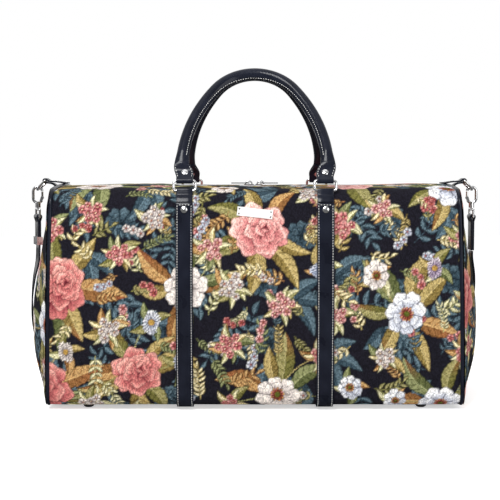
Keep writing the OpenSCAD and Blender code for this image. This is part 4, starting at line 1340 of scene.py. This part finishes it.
# %% Tabs
TAB_W = 21.5
TAB_T = 2.0
TAB_EDGE = 0.45
TAB_TOP_S = 29.0
TAB_BEND_S = 3.2
TAB_POINT_S = 14.0
TAB_OVER_S = 27.0
TAB_LEAN = 4.2
TAB_LIFT = 4.2
TAB_WIDER = 1.2
TAB_BAR_LIFT, TAB_BAR_RUN = 1.4, 9
TAB_STITCH_IN = 1.9
TAB_STITCH_LOW, TAB_STITCH_HIGH = 4.5, 24


def tab_half_width(s):
    """Square at the ring, a little wider at the rivet, and drawn in to the roll above it."""
    wide = TAB_W / 2 + TAB_WIDER * smoothstep(4, 13, s)
    return wide - (wide - HANDLE_R - 0.6) * smoothstep(15, TAB_TOP_S, s)


def tab_rise(s):
    """How far a layer of the tab stands out, so that its top lies over the flattened end of the roll."""
    at_bar = TAB_T / 2 + LAYER_GAP + np.clip(1 - s / TAB_BAR_RUN, 0, 1) * TAB_BAR_LIFT
    return at_bar + TAB_LIFT * smoothstep(TAB_POINT_S, TAB_OVER_S, s)


def make_tab(side, back, body):
    """Two layers of leather round the ring bar. Returns the stitch lines of the outer layer."""
    wrap_r = RING_R + BAR_GAP + TAB_T / 2
    outer = [(float(tab_rise(s)), s) for s in np.linspace(TAB_TOP_S, TAB_BEND_S, 20)]
    bend = [(wrap_r * math.cos(t), -wrap_r * math.sin(t)) for t in np.linspace(-0.3, math.pi + 0.3, 13)]
    inner = [(-o, s) for o, s in outer[::-1]]
    line = np.array(outer + bend + inner)
    x0 = side * STRAP_X

    def lean(s):
        return smoothstep(8, 26, s) * TAB_LEAN * side

    def place(u, v):
        p = along_line(line, v)
        over = np.maximum(p[:, 1] - TAB_POINT_S, 0)
        notched = TAB_POINT_S + over * (0.82 + 0.18 * np.abs(2 * u - 1) ** 1.3)
        s = np.where(p[:, 1] > TAB_POINT_S, notched, p[:, 1])
        out = np.where(p[:, 1] > TAB_BEND_S, np.sign(p[:, 0]) * tab_rise(s), p[:, 0])
        crown = 1 - 0.35 * (2 * u - 1) ** 2 * smoothstep(TAB_POINT_S, TAB_OVER_S, s)
        x = x0 + lean(s) + (2 * u - 1) * tab_half_width(s)
        return from_handle(x, out * crown, s, back)

    node = corner_name(back, side, "tab")
    tab = grid_piece(node + "_leather", 12, 100, place)
    thicken(tab, TAB_T - PARED, TAB_EDGE)
    smooth(tab)
    finish_piece(tab, leather, body, "black_leather", node)
    lines = []
    for dx in (-1, 1):
        rows = []
        for s in np.linspace(TAB_STITCH_LOW, TAB_STITCH_HIGH, 16):
            x = x0 + lean(s) + dx * (tab_half_width(s) - TAB_STITCH_IN)
            rise = (tab_rise(s) + TAB_T / 2) * (1 - 0.28 * smoothstep(TAB_POINT_S, TAB_OVER_S, s))
            here = np.array(from_handle(x, rise, s, back))
            rows.append((here, np.array(from_handle(x, rise + 1, s, back)) - here))
        lines.append(rows)
    return lines


# %% [markdown]
# ### Rolls
# The roll is a grid wrapped round the arch, with a raised seam on its inner side, and it flattens where it
# runs into the tabs. The stitches follow the seam. It turns towards the face of the handle on the legs.

# %% Rolls and their stitches
LEG_SEAM_A = 0.8
TOP_SEAM_TURN, TOP_SEAM_SPREAD = 0.5, 0.17
RIDGE_AT, RIDGE_SPREAD = 0.06, 0.035
RIDGE_H, RIDGE_SIDE_H = 1.0, 0.2
ROLL_FLAT_RUN = 20
ROLL_WIDER, ROLL_THINNER = 1.7, 3.6


def roll_surface(round_by):
    """Inward and outward place on the roll's skin at an angle from its inner side towards its face."""
    ridge = math.exp(-((round_by / (2 * math.pi) - RIDGE_AT) / RIDGE_SPREAD) ** 2)
    inward = (HANDLE_R + RIDGE_H * ridge) * math.cos(round_by)
    return inward, (HANDLE_R + RIDGE_SIDE_H * ridge) * math.sin(round_by)


def make_handle(name, back):
    """The roll with its two tabs, and all their stitches as one piece."""
    body = "back_handle" if back else "front_handle"

    def place(u, v):
        x, s, angle, at, total = arch(v)
        turn = u * 2 * math.pi
        from_end = np.minimum(at, total - at)
        flat = 1 - smoothstep(0, ROLL_FLAT_RUN, from_end)
        seam_here = np.exp(-((((u + 0.5 - RIDGE_AT) % 1) - 0.5) / RIDGE_SPREAD) ** 2)
        radius_in = HANDLE_R + ROLL_WIDER * flat
        radius_out = HANDLE_R - ROLL_THINNER * flat
        ridge = RIDGE_H * seam_here * (1 - flat)
        inward = -(radius_in + ridge) * np.cos(turn)
        out = (radius_out + RIDGE_SIDE_H * seam_here) * np.sin(turn)
        return from_handle(x + inward * np.cos(angle), out, s + inward * np.sin(angle), back)

    roll = grid_piece(name, 40, 180, place)
    weld(roll)
    smooth(roll, CLOTH_ANGLE)
    finish_piece(roll, leather, body, "black_leather", body, body + "_core")
    share = np.linspace(0.03, 0.97, 400)
    x, s, angle, _, _ = arch(share)
    line = []
    for xx, ss, a, way in zip(x, s, angle, share):
        round_by = LEG_SEAM_A - TOP_SEAM_TURN * math.exp(-((way - 0.5) / TOP_SEAM_SPREAD) ** 2)
        inward, out = roll_surface(round_by)
        here = from_handle(xx - inward * math.cos(a), out, ss - inward * math.sin(a), back)
        inward, out = inward + math.cos(round_by), out + math.sin(round_by)
        above = from_handle(xx - inward * math.cos(a), out, ss - inward * math.sin(a), back)
        line.append((here, np.array(above) - np.array(here)))
    lines = [line]
    for side in (-1, 1):
        lines += make_tab(side, back, body)
    seam(name + "_stitches", lines, body)


make_handle("front_leather_roll", False)
make_handle("back_leather_roll", True)

# %% [markdown]
# ## End tabs
# At each end of the zip a leather tab holds the D-ring. It is a short strip that comes up the end panel,
# goes round the bar of the ring and comes back to the top, where it is sewn down. Two simple curves and an
# arc round the bar give its path, and a strip of grid follows it.

# %% End tabs
END_TAB_W = 21.0
END_TAB_T = 2.0
END_TAB_EDGE = 0.4
END_TAB_SINK = 0.6
tab_low_z = FOOT_H + BODY_H + PIPING_PROUD + SEAT
DRING_R = 1.6
BAR_OUT = 24.0
BAR_LIFT = 1.65
TAB_ON_TOP = 7.0
TAB_DOWN_END = 12.0
TAB_STITCH_EDGE = 2.2
tab_edge_x = end_x(FOOT_H + BODY_H)
bar_x0 = tab_edge_x + BAR_OUT
bar_z0 = tab_low_z + DRING_R + BAR_LIFT


def curve_through(first, pull, last):
    """Points on a simple curve from first to last that is drawn towards pull."""
    first, pull, last = np.array(first), np.array(pull), np.array(last)
    return [first * (1 - k) ** 2 + 2 * k * (1 - k) * pull + k * k * last for k in np.linspace(0, 1, 12)]


def make_end_tab(name, node, side):
    wrap_r = DRING_R + BAR_GAP + END_TAB_T / 2
    low = tab_low_z + END_TAB_T / 2 - END_TAB_SINK
    edge = tab_edge_x
    start = edge - TAB_ON_TOP
    high = low + END_TAB_T + BAR_GAP
    under = curve_through((edge + 7.3, low - TAB_DOWN_END), (edge + 8, low - 0.5), (bar_x0 - 4, low))
    bend = [(bar_x0 + wrap_r * math.sin(t), bar_z0 - wrap_r * math.cos(t))
            for t in np.linspace(-0.5, math.pi + 0.35, 15)]
    over = curve_through((bar_x0 - 6, high), (edge + 7, high), (edge - 2, low))
    line = np.array(under + bend + over + [(start, low)])

    def place(u, v):
        p = along_line(line, v)
        return side * p[:, 0], (2 * u - 1) * (END_TAB_W / 2), p[:, 1]

    tab = grid_piece(name, 4, 80, place)
    thicken(tab, END_TAB_T, END_TAB_EDGE)
    smooth(tab)
    finish_piece(tab, leather, "bag", "black_leather", node)
    lines = []
    for dy in (-1, 1):
        y = dy * (END_TAB_W / 2 - TAB_STITCH_EDGE)
        lines.append([((side * x, y, z + END_TAB_T / 2), (0, 0, 1)) for x, z in over])
    row_x, row_z = side * (start + TAB_STITCH_EDGE), low + END_TAB_T / 2
    lines.append([((row_x, y, row_z), (0, 0, 1)) for y in np.linspace(-7, 7, 7)])
    seam(name + "_stitches", lines, "bag")


make_end_tab("left_end_leather", "left_end_tab", -1)
make_end_tab("right_end_leather", "right_end_tab", 1)

# %% [markdown]
# ## Folded strap ends
# The ends of the shoulder strap are folded round the swivel eyes. The left fold turns with its swivel as one
# piece, because the adjuster on it turns too and hides where the strap leaves it. The right fold has no
# adjuster, and it is not attached to a body.

# %% Folded strap ends
SLING_W = 25.0
SLING_T = 2.2
SLING_EDGE = 0.5
FOLD_GAP = 0.03
FOLD_PARED = 0.15
FOLD_BEND_Z = 6.0
LEFT_TURN = 20
LEFT_FOLD, RIGHT_FOLD = 44.0, 46.0
EYE_WIRE = 1.6
swivel_x = 299.0208
_, hook_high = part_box("right_strap_end")
eye_z = hook_high.z / MM - (EYE_WIRE + SEAT + SLING_T)


def make_strap_end(name, node, body, side, turn, length):
    """Two layers that hang down length from a swivel eye, turned by turn degrees."""
    wrap_r = EYE_WIRE + SEAT + SLING_T / 2
    layer = SLING_T / 2 + FOLD_GAP
    down = [(layer, -z) for z in np.linspace(length, FOLD_BEND_Z, 12)]
    bend = [(wrap_r * math.cos(t), wrap_r * math.sin(t)) for t in np.linspace(-0.5, math.pi + 0.5, 15)]
    line = np.array(down + bend + [(-layer, -z) for z in np.linspace(FOLD_BEND_Z, length, 12)])
    c, s = unit(math.radians(turn))

    def spot(out, y, z):
        return side * swivel_x + out * c - y * s, out * s + y * c, eye_z + z

    def place(u, v):
        p = along_line(line, v)
        return spot(p[:, 0], (2 * u - 1) * (SLING_W / 2), p[:, 1])

    end = grid_piece(name, 4, 70, place)
    thicken(end, SLING_T - FOLD_PARED, SLING_EDGE)
    smooth(end)
    finish_piece(end, leather, body, "black_leather", node)
    return end


slide_low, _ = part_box("strap_adjuster")
left_end_z = slide_low.z / MM
make_strap_end("left_strap_fold", "left_strap_end", "left_swivel", -1, LEFT_TURN, eye_z - left_end_z)
right_fold = make_strap_end("right_strap_fold", "right_strap_end", None, 1, 0, RIGHT_FOLD)
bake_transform(right_fold)

# %% [markdown]
# ## Shoulder strap
# The strap hangs from the hooks at both ends and lies behind the bag on the floor. Its route is the list of
# points that the CAD strap uses, with a fourth number for its twist, and its left end reaches up to the
# adjuster. A smooth curve through them gives the middle line. The strap is made in two halves that meet
# behind the bag.

# %% Strap route
END_GAP = 0.9
SLIDE_GAP = 0.1
LEFT_LOW = eye_z - LEFT_FOLD - END_GAP
RIGHT_LOW = eye_z - RIGHT_FOLD - END_GAP
BACK_Y = BODY_D / 2
hx = swivel_x
SLING_ROUTE = np.array([
    (-hx, 0, left_end_z - SLIDE_GAP, LEFT_TURN), (-hx - 1, 0, 0.925 * LEFT_LOW, LEFT_TURN),
    (-hx - 7, 4, 0.8 * LEFT_LOW, 0.75 * LEFT_TURN), (-hx - 12, 14, 0.64 * LEFT_LOW, 0.5 * LEFT_TURN),
    (-hx - 13, 30, 0.475 * LEFT_LOW, 0.25 * LEFT_TURN), (-hx - 9, 0.46 * BACK_Y, 0.3 * LEFT_LOW, 0),
    (-hx, 0.68 * BACK_Y, 0.145 * LEFT_LOW, 0), (-hx + 16, 0.885 * BACK_Y, 10, 0),
    (-hx + 41, BACK_Y + 6.5, 4, 0), (-hx + 74, BACK_Y + 20, 2.5, 0),
    (-0.6 * hx, BACK_Y + 30, 2, 0), (-0.4 * hx, BACK_Y + 37, 2, 0),
    (-0.17 * hx, BACK_Y + 40, 2, 0), (0.07 * hx, BACK_Y + 38, 2, 0),
    (0.3 * hx, BACK_Y + 34, 2, 0), (0.47 * hx, BACK_Y + 30, 2, 0),
    (0.62 * hx, BACK_Y + 26, 2, 0), (hx - 74, BACK_Y + 19, 2.5, 0),
    (hx - 41, BACK_Y + 7, 4, 0), (hx - 16, 0.9 * BACK_Y, 10, 0),
    (hx, 0.7 * BACK_Y, 0.145 * RIGHT_LOW, 0), (hx + 2, 0.6 * BACK_Y, 0.3 * RIGHT_LOW, 0),
    (hx + 5, 0.48 * BACK_Y, 0.475 * RIGHT_LOW, 0), (hx + 7, 0.32 * BACK_Y, 0.62 * RIGHT_LOW, 0),
    (hx + 6.5, 0.17 * BACK_Y, 0.74 * RIGHT_LOW, 0), (hx + 4, 6, 0.84 * RIGHT_LOW, 0),
    (hx + 1.5, 1, 0.91 * RIGHT_LOW, 0), (hx, 0, 0.96 * RIGHT_LOW, 0),
    (hx, 0, RIGHT_LOW, 0)], float)
SPLIT = 13
STEPS = 8
LEFT_FLOOR = (-0.308, 0.054, 0.061)
RIGHT_FLOOR = (0.2945, 0.084, 0.061)


def glide(route):
    """A smooth curve through the route points, STEPS pieces between each two."""
    padded = np.concatenate([route[:1], route, route[-1:]])
    found = []
    for i in range(len(route) - 1):
        a, b, c, d = padded[i:i + 4]
        for k in range(STEPS):
            t = k / STEPS
            found.append(0.5 * (2 * b + t * (c - a) + t * t * (2 * a - 5 * b + 4 * c - d)
                                + t ** 3 * (3 * b - a - 3 * c + d)))
    return np.array(found + [route[-1]])


def make_sling(name, points, far, ring, *nodes):
    """One half of the strap, from its hook to where it meets the other. far and ring are not used."""
    xyz, twist = points[:, :3], np.radians(points[:, 3])
    ahead = np.gradient(xyz, axis=0)
    ahead /= np.linalg.norm(ahead, axis=1)[:, None]
    guide = np.stack([-np.sin(twist), np.cos(twist), np.zeros_like(twist)], axis=1)
    wide = guide - ahead * (guide * ahead).sum(1)[:, None]
    wide /= np.linalg.norm(wide, axis=1)[:, None]
    run = run_along(xyz)

    def place(u, v):
        at = v * run[-1]
        middle = np.stack([np.interp(at, run, xyz[:, k]) for k in range(3)], axis=1)
        side = np.stack([np.interp(at, run, wide[:, k]) for k in range(3)], axis=1)
        p = middle + side * ((2 * u - 1) * (SLING_W / 2))[:, None]
        return p[:, 0], p[:, 1], p[:, 2]

    strap = grid_piece(name, 4, len(points), place)
    thicken(strap, SLING_T - PARED, SLING_EDGE)
    smooth(strap)
    finish_piece(strap, leather, None, "black_leather", *nodes)
    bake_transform(strap)
    print(name, "is", round(run[-1]), "mm long")


line = glide(SLING_ROUTE)
meet_at = SPLIT * STEPS
make_sling("left_shoulder_strap", line[:meet_at + 1], LEFT_FLOOR, "left_d_ring", "shoulder_strap")
make_sling("right_shoulder_strap", line[meet_at:][::-1], RIGHT_FLOOR, "right_d_ring", "shoulder_strap")

# %% [markdown]
# ## Stage
# A plain pale floor and soft light from large areas: one above and in front, one from the side and a weak
# one overhead. The camera sees a white backdrop, but polished pieces see a room that is darker in front, so
# that metal and leather have something to mirror.

# %% Floor and light
deselect()
bpy.ops.mesh.primitive_plane_add(size=8, location=(0, 0, 0))
floor = bpy.context.object
floor.name = "floor"
floor_finish, floor_tree, floor_shader = new_material("pale floor")
seen = floor_tree.nodes.new("ShaderNodeLightPath")
tone = ramp(floor_tree, seen.outputs["Is Glossy Ray"], [(0, (0.92, 0.92, 0.92)), (1, (0.12, 0.12, 0.12))])
floor_tree.links.new(tone, floor_shader.inputs["Base Color"])
glow = ramp(floor_tree, seen.outputs["Is Camera Ray"], [(0, (0, 0, 0)), (1, (0.52, 0.52, 0.52))])
floor_tree.links.new(glow, floor_shader.inputs["Emission Color"])
set_inputs(floor_shader, {"Emission Strength": 1, "Roughness": 0.8, "Specular IOR Level": 0})
floor.data.materials.append(floor_finish)

world = bpy.data.worlds.new("studio tent")
bpy.context.scene.world = world
world.use_nodes = True
sky = world.node_tree
way = sky.nodes.new("ShaderNodeTexCoord")
parts = sky.nodes.new("ShaderNodeSeparateXYZ")
fade = sky.nodes.new("ShaderNodeMapRange")
set_inputs(fade, {"From Min": -1, "To Min": 0.15, "To Max": 0.95})
sky.links.new(way.outputs["Generated"], parts.inputs[0])
sky.links.new(parts.outputs["Y"], fade.inputs["Value"])
path = sky.nodes.new("ShaderNodeLightPath")
strength = math_node(sky, "MAXIMUM", fade.outputs["Result"], path.outputs["Is Camera Ray"])
sky.links.new(strength, sky.nodes["Background"].inputs["Strength"])
sky.nodes["Background"].inputs["Color"].default_value = (1, 1, 1, 1)
bpy.context.scene.view_settings.view_transform = "Standard"


def soft_light(name, place, aim, size, power):
    """A square lamp of the given size that looks from place to aim."""
    bpy.ops.object.light_add(type="AREA", location=place)
    light = bpy.context.object
    light.name = name
    light.data.size = size
    light.data.energy = power
    light.rotation_euler = (Vector(aim) - Vector(place)).to_track_quat("-Z", "Y").to_euler()


soft_light("key", (-0.5, -1.45, 1.6), (0, 0, 0.16), 0.8, 42)
soft_light("fill", (1.4, -1.5, 0.7), (0, 0, 0.16), 1.2, 13)
soft_light("top", (0, 0.1, 1.9), (0, 0, 0.2), 1.6, 6)
